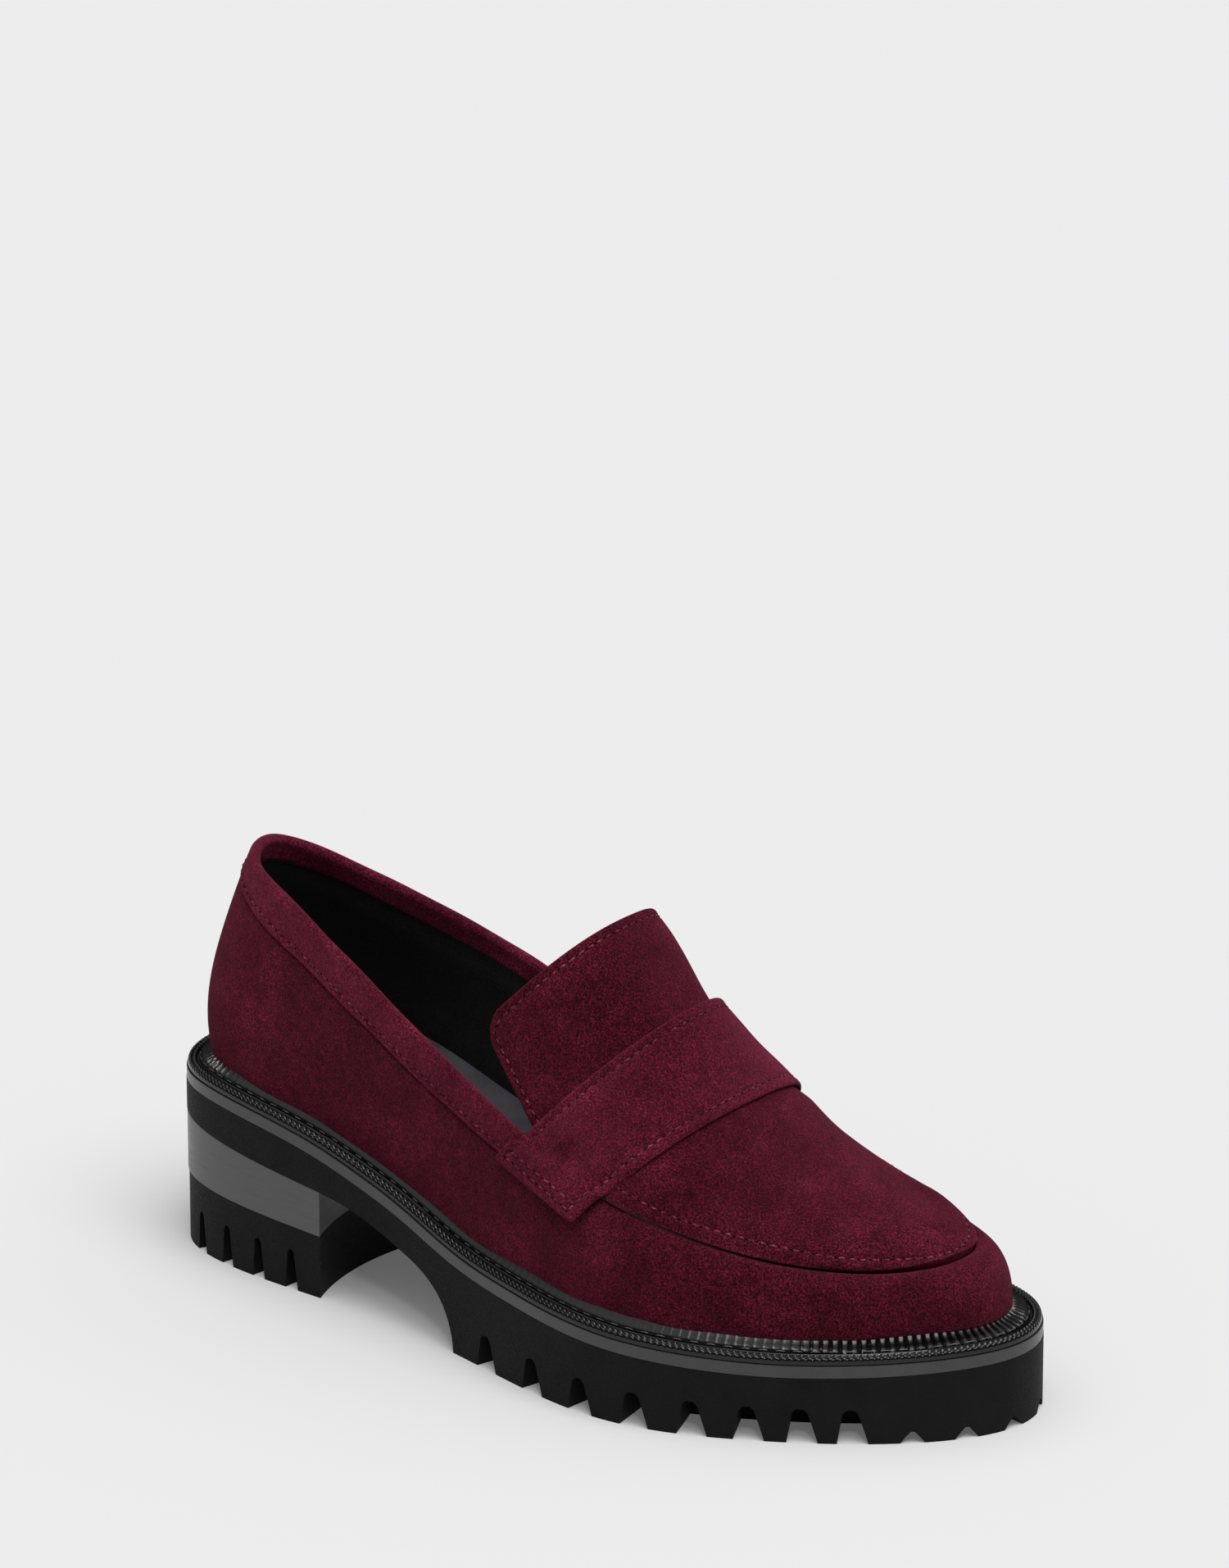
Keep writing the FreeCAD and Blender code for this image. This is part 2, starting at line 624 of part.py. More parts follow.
vamp_quarters = feature("vamp_quarters", layer(wall, (SEAM_BACK, LAPS - SEAM_BACK), skin_span,
                                               (0.0, skin), (LAP_COUNT, 9)))
quarter_lining = feature("quarter_lining", layer(wall, (-5.0, 5.0), lining_span,
                                                 (lining_low, lining_high), (41, 9)))
toe_lining = layer(wall, (5.1, LAPS - 5.1), lambda turn: (0.06, 0.72),
                   (lining_low, lining_high), (33, 9))
heel_counter = feature("heel_counter", layer(wall, (-2.3, 2.3), lambda turn: (0.05, 0.70),
                                             (stiffener_low, stiffener_high), (25, 9)))
toe_puff = feature("toe_puff", layer(wall, (6.0, 10.0), lambda turn: (0.06, 0.68),
                                     (stiffener_low, stiffener_high), (21, 9)))


def collar_face(turn, share):
    """Face of the collar binding: up the outside, over the topline and down the inside."""
    radius = dim("collar_radius")
    seam = collar_seam(turn)
    bend = 0.44
    side = (1 - bend) / 2
    if share <= side:
        level = seam + (1 - seam) * share / side
        return moved_in(wall, turn, level, -0.3)
    if share >= 1 - side:
        level = seam + (1 - seam) * (1 - share) / side
        return moved_in(wall, turn, level, 2 * radius - 0.3)
    angle = math.pi * (share - side) / bend
    centre = moved_in(wall, turn, 1.0, radius - 0.3)
    outward = moved_in(wall, turn, 1.0, 0.0) - moved_in(wall, turn, 1.0, 1.0)
    upward = wall(turn, 1.0) - wall(turn, 0.98)
    upward.normalize()
    return centre + outward * (radius * math.cos(angle)) + upward * (radius * math.sin(angle))


collar_binding = feature("collar_binding",
                         layer(collar_face, (-COLLAR_END, COLLAR_END), lambda turn: (0.02, 0.98),
                               (0.0, dim("binding_thick")), (45, 19), (0.02, 0.02)))
padding_depths = (dim("binding_thick"), 2 * dim("collar_radius") - 0.6 - dim("binding_thick"))
collar_padding = feature("collar_padding",
                         layer(wall, (-COLLAR_END + 0.05, COLLAR_END - 0.05),
                               lambda turn: (collar_seam(turn) + 0.015, 0.995),
                               padding_depths, (41, 5)))

# Apron: an arched sheet trimmed by an upright prism over the apron seam.

APRON_END = 4.32        # turns of the outline from the heel to the apron's rear corners


def apron_prism(insets):
    """Upright prism over the apron seam moved in, with a curved rear edge under the strap."""
    points = []
    for turn in spread(APRON_END, LAPS - APRON_END, 29):
        x, y, _ = on_loop(TOP_POLES, turn)
        _, _, out_x, out_y = outline(turn)
        inset = along(insets, x)
        points.append(place(x - out_x * inset, y - out_y * inset, 20))
    front = Part.BSplineCurve()
    front.interpolate(points)
    rear = Part.BSplineCurve()
    rear.interpolate([points[-1], place(162, 20, 20), place(173, 0, 20), place(162, -22, 20),
                      points[0]])
    face = Part.Face(Part.Wire([front.toShape(), rear.toShape()]))
    return face.extrude(Vector(0, 0, 100))


def arch_layer(low, high, first=0.0, last=7.0, reach=84.0, counts=(29, 33)):
    return layer(instep, (first, last), lambda position: (-reach, reach), (low, high), counts,
                 (0.05, 1.0))


apron = feature("apron", arch_layer(-0.9, 0.4).common(apron_prism([(150, 1.8), (180, 0.5)])))
lid_lining = arch_layer(0.55, 1.25).common(apron_prism([(150, 2.2), (180, 2.2)]))
vamp_lining = feature("vamp_lining", Part.makeCompound([lid_lining, toe_lining]))

# Strap: across the instep, between two planes square to it.
position_rear = (dim("strap_rear") - 57.0) / 14.0
position_front = (dim("strap_front") - 57.0) / 14.0
wall_clearance = layer(wall, (3.4, LAPS - 3.4), lambda turn: (0.0, 1.0), (-0.75, 3.0), (41, 9))


def strap_layer(trim, short, low, high):
    """One layer of the strap, cut back where the wall and the collar lie under its ends."""
    band = layer(instep, (position_rear + trim, position_front - trim),
                 lambda position: (-76.5 - 3.0 * position + short, 77.0 - short),
                 (low, high), (9, 41), (0.05, 1.0))
    return max(band.cut(wall_clearance).Solids, key=lambda solid: solid.Volume)


backing_low = -1.05
backing_high = backing_low - dim("backing_thick")
strap_low = backing_high - dim("air")
strap = feature("strap", strap_layer(0.0, 0.0, strap_low - dim("strap_thick"), strap_low))
strap_backing = feature("strap_backing", strap_layer(0.03, 13.0, backing_high, backing_low))

# Tongue: outer skin and lining, from under the strap back to the free end.
lining_depths = (dim("tongue_thick") + dim("air"), dim("tongue_thick") + dim("air") + 0.8)
tongue = feature("tongue", layer(tongue_face, (0.0, 0.93), lambda position: (-74.0, 72.0),
                                 (0.0, dim("tongue_thick")), (13, 29), (0.01, 1.0)))
tongue_lining = feature("tongue_lining",
                        layer(tongue_face, (0.02, 0.91), lambda position: (-72.0, 70.0),
                              lining_depths, (13, 29), (0.01, 1.0)))

# ---------------------------------------------------------------- checks and files

doc.recompute()
for item in doc.Objects:
    if "Invalid" in item.State or "Error" in item.State:
        raise RuntimeError("object failed: " + item.Label)

parts = [heel_top_piece] + drilled + [shank, welt, storm_rib, footbed_foam, sock_liner,
                                      heel_nails, vamp_quarters, apron, vamp_lining,
                                      quarter_lining, heel_counter, toe_puff, collar_binding,
                                      collar_padding, strap, strap_backing, tongue,
                                      tongue_lining]
os.makedirs("parts", exist_ok=True)
for item in parts:
    shape = item.Shape
    if shape.isNull() or not shape.isValid():
        raise RuntimeError("bad shape: " + item.Label)
    print("%-16s solids %2d volume %10.1f  %s" % (item.Label, len(shape.Solids), shape.Volume,
                                                  shape.BoundBox))
    shape.exportStep("parts/" + item.Label + ".step")
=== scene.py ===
"""Looks of a lug-sole suede loafer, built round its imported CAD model.

Shapes are worked out in millimetres, as stations along the foot from the back of the
heel and distances from the heel's centre line, and moved to the model's frame, in
metres, when each mesh is made.
"""

import math

import bpy
import numpy as np
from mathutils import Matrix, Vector
from mathutils.bvhtree import BVHTree


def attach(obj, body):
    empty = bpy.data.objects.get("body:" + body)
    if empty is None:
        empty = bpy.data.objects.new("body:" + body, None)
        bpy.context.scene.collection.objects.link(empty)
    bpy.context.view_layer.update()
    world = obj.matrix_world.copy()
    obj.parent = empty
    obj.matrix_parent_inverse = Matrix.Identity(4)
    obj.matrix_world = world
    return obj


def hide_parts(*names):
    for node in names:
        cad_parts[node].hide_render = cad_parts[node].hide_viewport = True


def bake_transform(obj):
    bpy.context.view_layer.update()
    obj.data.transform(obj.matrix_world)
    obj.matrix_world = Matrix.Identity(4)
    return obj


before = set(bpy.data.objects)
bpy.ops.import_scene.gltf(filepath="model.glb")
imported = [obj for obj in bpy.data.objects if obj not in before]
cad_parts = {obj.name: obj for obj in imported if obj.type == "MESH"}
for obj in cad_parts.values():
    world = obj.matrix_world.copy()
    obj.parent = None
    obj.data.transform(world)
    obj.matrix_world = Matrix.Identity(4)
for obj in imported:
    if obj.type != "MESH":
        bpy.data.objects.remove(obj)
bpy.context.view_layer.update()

ORIGIN = np.array([134.0, -5.2, 0.0])
MM = 0.001

# Sole edge seen from above, once round from the back of the heel along the outer side.
OUTLINE = [(0, 1.5), (11, -26), (47, -36), (91.5, -39), (136.5, -49), (179, -56), (217, -44),
           (251.5, -20), (268, 9), (254, 34.5), (217, 45), (172, 42), (128.5, 32.5),
           (87.5, 31), (46, 34.5), (12, 28)]
# Top of the rubber sole along the foot, and the distance from the edge in to the upper.
EDGE_HEIGHT = [(0, 47), (30, 45.9), (60, 41.8), (90, 33.6), (120, 24.8), (150, 21.7),
               (195, 19.1), (225, 18.0), (268, 19.7)]
FEATHER = [(0, 8.0), (25, 6.3), (60, 5.5), (180, 6.0), (235, 7.0), (268, 8.7)]
# Upper end of the wall: the topline round the heel, then the apron seam round the toe.
WALL_TOP = [(17, 0.5, 112), (24, -13.5, 110), (47.5, -24, 104), (91, -34, 86.5),
            (138, -40.5, 65.5), (178, -43, 54.3), (213, -30.5, 45.3), (237.5, -9, 41.3),
            (246.5, 10, 41.5), (239, 26, 41.5), (211, 35, 45.0), (172, 35, 55),
            (131, 29.5, 67.5), (90, 29.5, 83), (48, 25, 96.3), (23, 15, 106.5)]
# Wall section along the foot: share of the height that rises straight, bulge low down,
# bulge near the top, and share of the height over which it turns in.
WALL_RISE = [(0, 0.34), (91, 0.34), (136, 0.45), (179, 0.6), (268, 0.62)]
WALL_LOW = [(0, 4.2), (30, 2.6), (91, 2.4), (136, 0.6), (179, -0.3), (268, 0.5)]
WALL_HIGH = [(0, 9.2), (11, 7.4), (47, 3.8), (91, 2.4), (136, 3.0), (179, 3.8), (268, 7.0)]
WALL_TURN = [(0, 0.34), (91, 0.33), (136, 0.18), (179, 0.0), (217, -0.06), (268, -0.15)]
# Instep and apron sections: foot of the section (x, z), ridge (x, z), middle (y),
# half widths on the outer and inner side, and the arch's exponent.
SECTIONS = [((125.0, 48.0), (167.5, 97.8), 0.0, 40.0, 31.0, 1.8),
            ((141.6, 46.0), (176.8, 86.0), 0.0, 43.0, 33.5, 2.0),
            ((158.5, 43.5), (186.4, 75.0), 0.0, 45.5, 37.0, 2.25),
            ((182.0, 40.0), (199.7, 62.6), 0.5, 45.5, 38.0, 2.15),
            ((205.0, 37.5), (214.0, 55.4), 2.5, 39.0, 34.5, 2.0),
            ((225.0, 36.0), (229.5, 49.8), 6.0, 30.0, 26.5, 1.9),
            ((241.0, 35.0), (242.0, 45.4), 9.5, 20.0, 18.5, 1.8),
            ((253.0, 34.0), (253.0, 41.0), 11.0, 15.0, 15.0, 1.8)]
MIDSOLE, WELT = 3.4, 2.2
SKIN = 1.5
# The collar band's width along the foot and round the back of the heel, the radius of its
# rim, how far it goes down inside, and the turn at which it ends under the strap.
COLLAR_WIDTH, COLLAR_BACK_WIDTH = 10.0, 6.2
COLLAR_RADIUS, COLLAR_INSIDE, COLLAR_END = 1.7, 6.0, 4.02
# The strap's edges as places along the instep sections, which are a pitch apart.
STRAP_REAR, STRAP_FRONT, STRAP_PITCH = 0.04, 2.04, 14.0
STRAP_THICK, STRAP_LEVEL, STRAP_CORNER = 2.0, 3.0, 1.6
LID_THICK = 1.8
TONGUE_TILT = math.radians(43.0)
TONGUE_END, TONGUE_ROOT, TONGUE_THICK, TONGUE_CORNER = 26.0, 59.5, 1.6, 8.0
TONGUE_LENGTH = TONGUE_ROOT - TONGUE_END
TONGUE_REACH, TONGUE_EXPONENT = (-74.0, 72.0), 2.6
# How far in from an edge each seam is sewn, and the pitches of what repeats.
SEAM_IN, COLLAR_SEAM_IN, APRON_SEAM_IN, STRAP_END_SEAM_IN = 2.6, 2.2, 3.0, 5.0
STITCH_PITCH, NOTCH_PITCH, RIB_PITCH, WELT_THREAD_PITCH = 3.0, 1.8, 2.6, 4.6
LAPS = len(OUTLINE)


# ---------------------------------------------------------------- curves and surfaces

def poles_through(points):
    """Poles of the closed uniform cubic spline that passes through the points."""
    points = np.array(points, float)
    poles = points.copy()
    for _ in range(40):
        poles = (6 * points - np.roll(poles, 1, 0) - np.roll(poles, -1, 0)) / 4
    return poles


OUTLINE_POLES = poles_through(OUTLINE)
TOP_POLES = poles_through(WALL_TOP)


def on_loop(poles, turn):
    """Point of a closed uniform cubic spline; turn counts its points."""
    turn = np.asarray(turn, float)
    first = np.floor(turn).astype(int)
    s = (turn - first)[..., None]
    weights = ((1 - s) ** 3, 3 * s ** 3 - 6 * s ** 2 + 4, -3 * s ** 3 + 3 * s ** 2 + 3 * s + 1,
               s ** 3)
    return sum(weight * poles[(first + k) % len(poles)]
               for weight, k in zip(weights, (-1, 0, 1, 2))) / 6


def along(table, x):
    """Smooth value at x through a short table of (x, value)."""
    xs, ys = np.array(table, float).T
    low = np.maximum(np.arange(len(xs)) - 1, 0)
    high = np.minimum(np.arange(len(xs)) + 1, len(xs) - 1)
    slopes = (ys[high] - ys[low]) / (xs[high] - xs[low])
    x = np.clip(np.asarray(x, float), xs[0], xs[-1])
    i = np.clip(np.searchsorted(xs, x, side="right") - 1, 0, len(xs) - 2)
    span = xs[i + 1] - xs[i]
    s = (x - xs[i]) / span
    return (ys[i] * (2 * s ** 3 - 3 * s ** 2 + 1) + ys[i + 1] * (3 * s ** 2 - 2 * s ** 3)
            + span * (slopes[i] * (s ** 3 - 2 * s ** 2 + s) + slopes[i + 1] * (s ** 3 - s ** 2)))


def smooth_step(low, high, x):
    s = np.clip((np.asarray(x, float) - low) / (high - low), 0, 1)
    return s * s * (3 - 2 * s)


def bell(x, width):
    return np.exp(-(np.asarray(x) / width) ** 2)


def unit(vectors):
    return vectors / np.linalg.norm(vectors, axis=-1, keepdims=True)


def lengths_along(points):
    """Distance walked along a line of points, from 0."""
    steps = np.linalg.norm(np.diff(points, axis=0), axis=-1)
    return np.concatenate([[0.0], np.cumsum(steps)])


def edge_height(x):
    return along(EDGE_HEIGHT, x)


def outline(turn, inset=0.0):
    """Points of the sole's edge moved in by inset, and their outward directions."""
    turn = np.asarray(turn, float)
    heading = unit(on_loop(OUTLINE_POLES, turn + 0.01) - on_loop(OUTLINE_POLES, turn - 0.01))
    outward = np.stack([heading[..., 1], -heading[..., 0]], -1)
    return on_loop(OUTLINE_POLES, turn) - outward * np.asarray(inset)[..., None], outward


def wall(turn, share):
    """Outer face of the upper's wall: share 0 at the welt, 1 at the topline or apron."""
    turn, share = np.broadcast_arrays(np.asarray(turn, float), np.asarray(share, float))
    edge, outward = outline(turn)
    x = edge[..., 0]
    plan = edge - outward * along(FEATHER, x)[..., None]
    foot = np.concatenate([plan, (edge_height(x) + MIDSOLE + WELT + 0.2)[..., None]], -1)
    top = on_loop(TOP_POLES, turn)
    outward = np.concatenate([outward, np.zeros_like(x)[..., None]], -1)
    rise = (top[..., 2:] - foot[..., 2:]) * np.array([0.0, 0.0, 1.0])
    low = foot + outward * along(WALL_LOW, x)[..., None] + rise * along(WALL_RISE, x)[..., None]
    high = top + outward * along(WALL_HIGH, x)[..., None] - rise * along(WALL_TURN, x)[..., None]
    s = share[..., None]
    return (foot * (1 - s) ** 3 + low * 3 * s * (1 - s) ** 2 + high * 3 * s ** 2 * (1 - s)
            + top * s ** 3)


def wall_height(turns):
    """Straight distance from the wall's lower edge to its upper edge."""
    return np.linalg.norm(wall(turns, 1) - wall(turns, 0), axis=-1)


def power(value, exponent):
    """Power that keeps the value's sign."""
    return np.sign(value) * np.abs(value) ** exponent


def instep(position, angle):
    """Instep and apron face: angle runs from -90 at the outer foot of the section to 90."""
    position, angle = np.broadcast_arrays(np.asarray(position, float), np.asarray(angle, float))
    rows = [(*foot, *ridge, *rest) for foot, ridge, *rest in SECTIONS]
    values = [along(list(enumerate(column)), position) for column in zip(*rows)]
    foot_x, foot_z, ridge_x, ridge_z, middle, outer, inner, exponent = values
    turn = np.radians(angle)
    across = power(np.sin(turn), 2 / exponent)
    up = power(np.cos(turn), 2 / exponent)
    half = np.where(across < 0, outer, inner)
    return np.stack([foot_x + (ridge_x - foot_x) * up, middle + half * across,
                     foot_z + (ridge_z - foot_z) * up], -1)


def tongue_face(position, angle):
    """Face of the tongue: position 0 at its free end and 1 at the strap."""
    position, angle = np.broadcast_arrays(np.asarray(position, float), np.asarray(angle, float))
    down = TONGUE_END + (TONGUE_ROOT - TONGUE_END) * position
    base = 125 - 5 * position
    peak = 186.0 - 4.6 * smooth_step(0, 1, position)
    turn = np.radians(angle)
    across = power(np.sin(turn), 2 / TONGUE_EXPONENT)
    height = base + (peak - base) * power(np.cos(turn), 2 / TONGUE_EXPONENT)
    half = np.where(across < 0, 33.5 + 2.2 * position, 24.5 + 2.5 * position)
    tilt = TONGUE_TILT
    return np.stack([down * math.cos(tilt) + height * math.sin(tilt), half * across,
                     height * math.cos(tilt) - down * math.sin(tilt)], -1)


def normals_of(grid, closed=False):
    """Unit normals of a grid of points; closed says that its first axis comes round."""
    if closed:
        steps = np.roll(grid, -1, 0) - np.roll(grid, 1, 0)
    else:
        steps = np.gradient(grid, axis=0)
    return unit(np.cross(steps, np.gradient(grid, axis=1)))


def from_heel(turn):
    """How many turns a place is from the back of the heel, either way round."""
    return np.minimum(np.mod(turn, LAPS), LAPS - np.mod(turn, LAPS))


def collar_share(turn):
    """How much of the collar there is at a turn, 1 along it and 0 past its ends."""
    return 1 - smooth_step(COLLAR_END - 0.1, COLLAR_END + 0.35, from_heel(turn))


def beside_heel(turn):
    """0 round the back of the heel and 1 along its sides and further on."""
    return smooth_step(0.5, 2.0, from_heel(turn))


def collar_width(turn):
    """Width of the collar's outer band, less round the back of the heel."""
    return COLLAR_BACK_WIDTH + (COLLAR_WIDTH - COLLAR_BACK_WIDTH) * beside_heel(turn)


def collar_relief(turn):
    """How far the collar's padding stands out, 1 along the foot and flatter at the heel."""
    return 0.35 + 0.65 * beside_heel(turn)


# ---------------------------------------------------------------- meshes

def quads(index):
    """Faces between neighbours of a grid of point numbers."""
    corners = (index[:-1, :-1], index[1:, :-1], index[1:, 1:], index[:-1, 1:])
    return np.stack(corners, -1).reshape(-1, 4)


def piece(name, points, faces, material, slot, stands_for=()):
    """Mesh object of points in millimetres, moved to the model's frame in metres; it hides the CAD
    parts it stands for.
    """
    used, renumbered = np.unique(faces, return_inverse=True)
    mesh = bpy.data.meshes.new(name)
    mesh.from_pydata(((points[used] - ORIGIN) * MM).tolist(), [],
                     renumbered.reshape(faces.shape).tolist())
    mesh.shade_smooth()
    mesh.set_sharp_from_angle(angle=math.radians(50))
    mesh.materials.append(material)
    item = bpy.data.objects.new(name, mesh)
    bpy.context.scene.collection.objects.link(item)
    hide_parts(*stands_for)
    return item


def shell(outer, thickness, normals=None, closed=False, spine=False):
    """Points and faces of a closed sheet below a grid of points.

    closed joins the first axis round; spine joins each column's last point to that of
    the column opposite.
    """
    columns, rows = outer.shape[:2]
    if normals is None:
        normals = normals_of(outer, closed)
    inner = outer - normals * thickness
    index = np.arange(columns * rows).reshape(columns, rows)
    if spine:
        opposite = np.minimum(np.arange(columns), columns - 1 - np.arange(columns))
        index[:, -1] = index[opposite, -1]
    if closed:
        index = np.vstack([index, index[:1]])
    under = index + columns * rows
    rims = [np.stack([index[::-1, 0], under[::-1, 0]], -1)]
    if not spine:
        rims.append(np.stack([index[:, -1], under[:, -1]], -1))
    if not closed:
        rims.append(np.stack([index[0], under[0]], -1))
        rims.append(np.stack([index[-1, ::-1], under[-1, ::-1]], -1))
    faces = [quads(index), quads(under[::-1])] + [quads(rim) for rim in rims]
    return np.concatenate([outer.reshape(-1, 3), inner.reshape(-1, 3)]), np.concatenate(faces)


def ring(turns, insets, heights):
    """Points and faces of a closed section swept once round the sole's edge.

    Insets and heights are over the midsole, one row for each turn; on the section's top
    they run inwards.
    """
    edge, outward = outline(turns)
    plan = edge[:, None] - outward[:, None] * insets[..., None]
    level = edge_height(plan[..., 0]) + MIDSOLE + heights
    points = np.concatenate([plan, level[..., None]], -1)
    count, around = insets.shape
    index = np.arange(count * around).reshape(count, around)
    index = np.vstack([index, index[:1]])
    index = np.hstack([index, index[:, :1]])
    return points.reshape(-1, 3), quads(index)


def edge_rows(width, count):
    """Distances from one edge of a sheet to the other, close together near both."""
    near = np.array([0, 0.1, 0.25, 0.45, 0.7, 1.0, 1.5, 2.0, 2.3, 2.6, 2.9, 3.3, 4.0])
    middle = np.linspace(4.8, width - 4.8, count)
    return np.concatenate([near, middle, width - near[::-1]])


def edge_distance(s, t, corner):
    """Distance in from a rounded corner, from the distances to its two straight edges."""
    short_s, short_t = np.maximum(corner - s, 0), np.maximum(corner - t, 0)
    at_corner = (short_s > 0) & (short_t > 0)
    return np.where(at_corner, corner - np.hypot(short_s, short_t), np.minimum(s, t))


def sewn_height(distance, thick, rounding=0.9, rows=(SEAM_IN,)):
    """Height of a sewn sheet over what it lies on: a rounded edge and a pulled-in seam."""
    short = np.clip(1 - distance / rounding, 0, 1)
    height = thick - rounding * (1 - np.sqrt(np.maximum(1 - short ** 2, 0)))
    for row in rows:
        height = height - 0.34 * bell(distance - row, 0.55)
    return height + 0.22 * smooth_step(3.0, 9.0, distance)


def softly(points, amount):
    """Slow unevenness of hand-lasted suede, as a height at each point."""
    x, y, z = (points[..., i] for i in range(3))
    return amount * (np.sin(x / 9.1 + y / 14.0 + 1.0) * np.sin(z / 8.3 - x / 23.0)
                     + 0.6 * np.sin(x / 5.2 - z / 6.1 + y / 7.7))


def stitches(path, normals, pitch, length, radius, lift=0.0, first=0.5):
    """Points and faces of a row of stitches, each a small arched capsule.

    first is the place of the first stitch, in pitches from the start.
    """
    walked = lengths_along(path)
    count = int(walked[-1] / pitch)
    if count < 1:
        return np.zeros((0, 3)), np.zeros((0, 4), int)
    at = (np.arange(count) + first) * walked[-1] / count
    centre, over = (np.stack([np.interp(at, walked, field[:, axis]) for axis in range(3)], -1)
                    for field in (path, normals))
    ahead = np.stack([np.interp(at + 0.3, walked, path[:, axis]) for axis in range(3)], -1)
    behind = np.stack([np.interp(at - 0.3, walked, path[:, axis]) for axis in range(3)], -1)
    heading, over = unit(ahead - behind), unit(over)
    side = np.cross(over, heading)
    shares = np.array([-0.5, -0.42, -0.2, 0.2, 0.42, 0.5])
    widths = np.array([0.25, 0.8, 1.0, 1.0, 0.8, 0.25]) * radius
    sinks = lift - radius * 1.6 * np.abs(2 * shares) ** 3
    spin = np.arange(6) * math.pi / 3
    ahead_by = (shares * length)[None, :, None, None]
    over_by = (sinks[:, None] + widths[:, None] * np.sin(spin))[None, ..., None]
    side_by = (widths[:, None] * np.cos(spin))[None, ..., None]
    points = (centre[:, None, None] + heading[:, None, None] * ahead_by
              + over[:, None, None] * over_by + side[:, None, None] * side_by)
    loop = np.arange(36).reshape(6, 6)
    loop = np.hstack([loop, loop[:, :1]])[::-1]
    ends = np.array([[5, 4, 3, 2], [5, 2, 1, 0], [30, 31, 32, 33], [30, 33, 34, 35]])[:, ::-1]
    one = np.concatenate([quads(loop), ends])
    faces = one[None] + 36 * np.arange(count)[:, None, None]
    return points.reshape(-1, 3), faces.reshape(-1, 4)


def seam_row(name, paths):
    """Stitches along lines of points with their normals, and dark marks between them: painted
    shade of the needle holes.
    """
    threads = [stitches(path, over, STITCH_PITCH, STITCH_PITCH * 0.66, 0.27, 0.12)
               for path, over in paths]
    # Dark sunken capsules between the stitches: painted shade standing in for the needle holes.
    hole_shades = [stitches(path, over, STITCH_PITCH, 1.0, 0.26, -0.05, 0.0) for path, over in paths]
    return [piece(name + "_stitching", *joined(threads), suede_thread, "suede"),
            piece(name + "_needle_hole_shade", *joined(hole_shades), suede_painted_hole_shade, "suede")]


def joined(parts):
    """One list of points and faces out of several."""
    points, faces, start = [], [], 0
    for more_points, more_faces in parts:
        points.append(more_points)
        faces.append(more_faces + start)
        start += len(more_points)
    return np.concatenate(points), np.concatenate(faces)


# ---------------------------------------------------------------- materials

def new_material(name):
    material = bpy.data.materials.new(name)
    material.use_nodes = True
    tree = material.node_tree
    return material, tree, tree.nodes["Principled BSDF"]


def link(tree, source, target):
    tree.links.new(source, target)


def coordinates(tree, stretch=(1, 1, 1)):
    """Object coordinates in metres, stretched along the axes."""
    source = tree.nodes.new("ShaderNodeTexCoord")
    mapping = tree.nodes.new("ShaderNodeMapping")
    mapping.inputs["Scale"].default_value = stretch
    link(tree, source.outputs["Object"], mapping.inputs["Vector"])
    return mapping.outputs["Vector"]


def noise(tree, vector, scale, detail=3.0, roughness=0.55, distortion=0.0):
    node = tree.nodes.new("ShaderNodeTexNoise")
    for name, value in (("Scale", scale), ("Detail", detail), ("Roughness", roughness),
                        ("Distortion", distortion)):
        node.inputs[name].default_value = value
    link(tree, vector, node.inputs["Vector"])
    return node.outputs["Fac"]


def ramp(tree, value, stops):
    node = tree.nodes.new("ShaderNodeValToRGB")
    elements = node.color_ramp.elements
    while len(elements) < len(stops):
        elements.new(0.5)
    for element, (place, colour) in zip(elements, stops):
        element.position = place
        element.color = (*colour, 1)
    link(tree, value, node.inputs["Fac"])
    return node.outputs["Color"]


def mix(tree, share, first, second, blend="MIX"):
    node = tree.nodes.new("ShaderNodeMix")
    node.data_type = "RGBA"
    node.blend_type = blend
    for socket, value in ((node.inputs["Factor"], share), (node.inputs[6], first),
                          (node.inputs[7], second)):
        if isinstance(value, bpy.types.NodeSocket):
            link(tree, value, socket)
        else:
            socket.default_value = value
    return node.outputs[2]


def ranged(tree, value, low, high, to_low, to_high):
    node = tree.nodes.new("ShaderNodeMapRange")
    for name, number in (("From Min", low), ("From Max", high), ("To Min", to_low),
                         ("To Max", to_high)):
        node.inputs[name].default_value = number
    link(tree, value, node.inputs["Value"])
    return node.outputs["Result"]


def bump(tree, shader, value, strength, distance, before=None):
    node = tree.nodes.new("ShaderNodeBump")
    node.inputs["Strength"].default_value = strength
    node.inputs["Distance"].default_value = distance
    link(tree, value, node.inputs["Height"])
    if before is not None:
        link(tree, before, node.inputs["Normal"])
    link(tree, node.outputs["Normal"], shader.inputs["Normal"])
    return node.outputs["Normal"]


def grey(level):
    return (level, level, level)


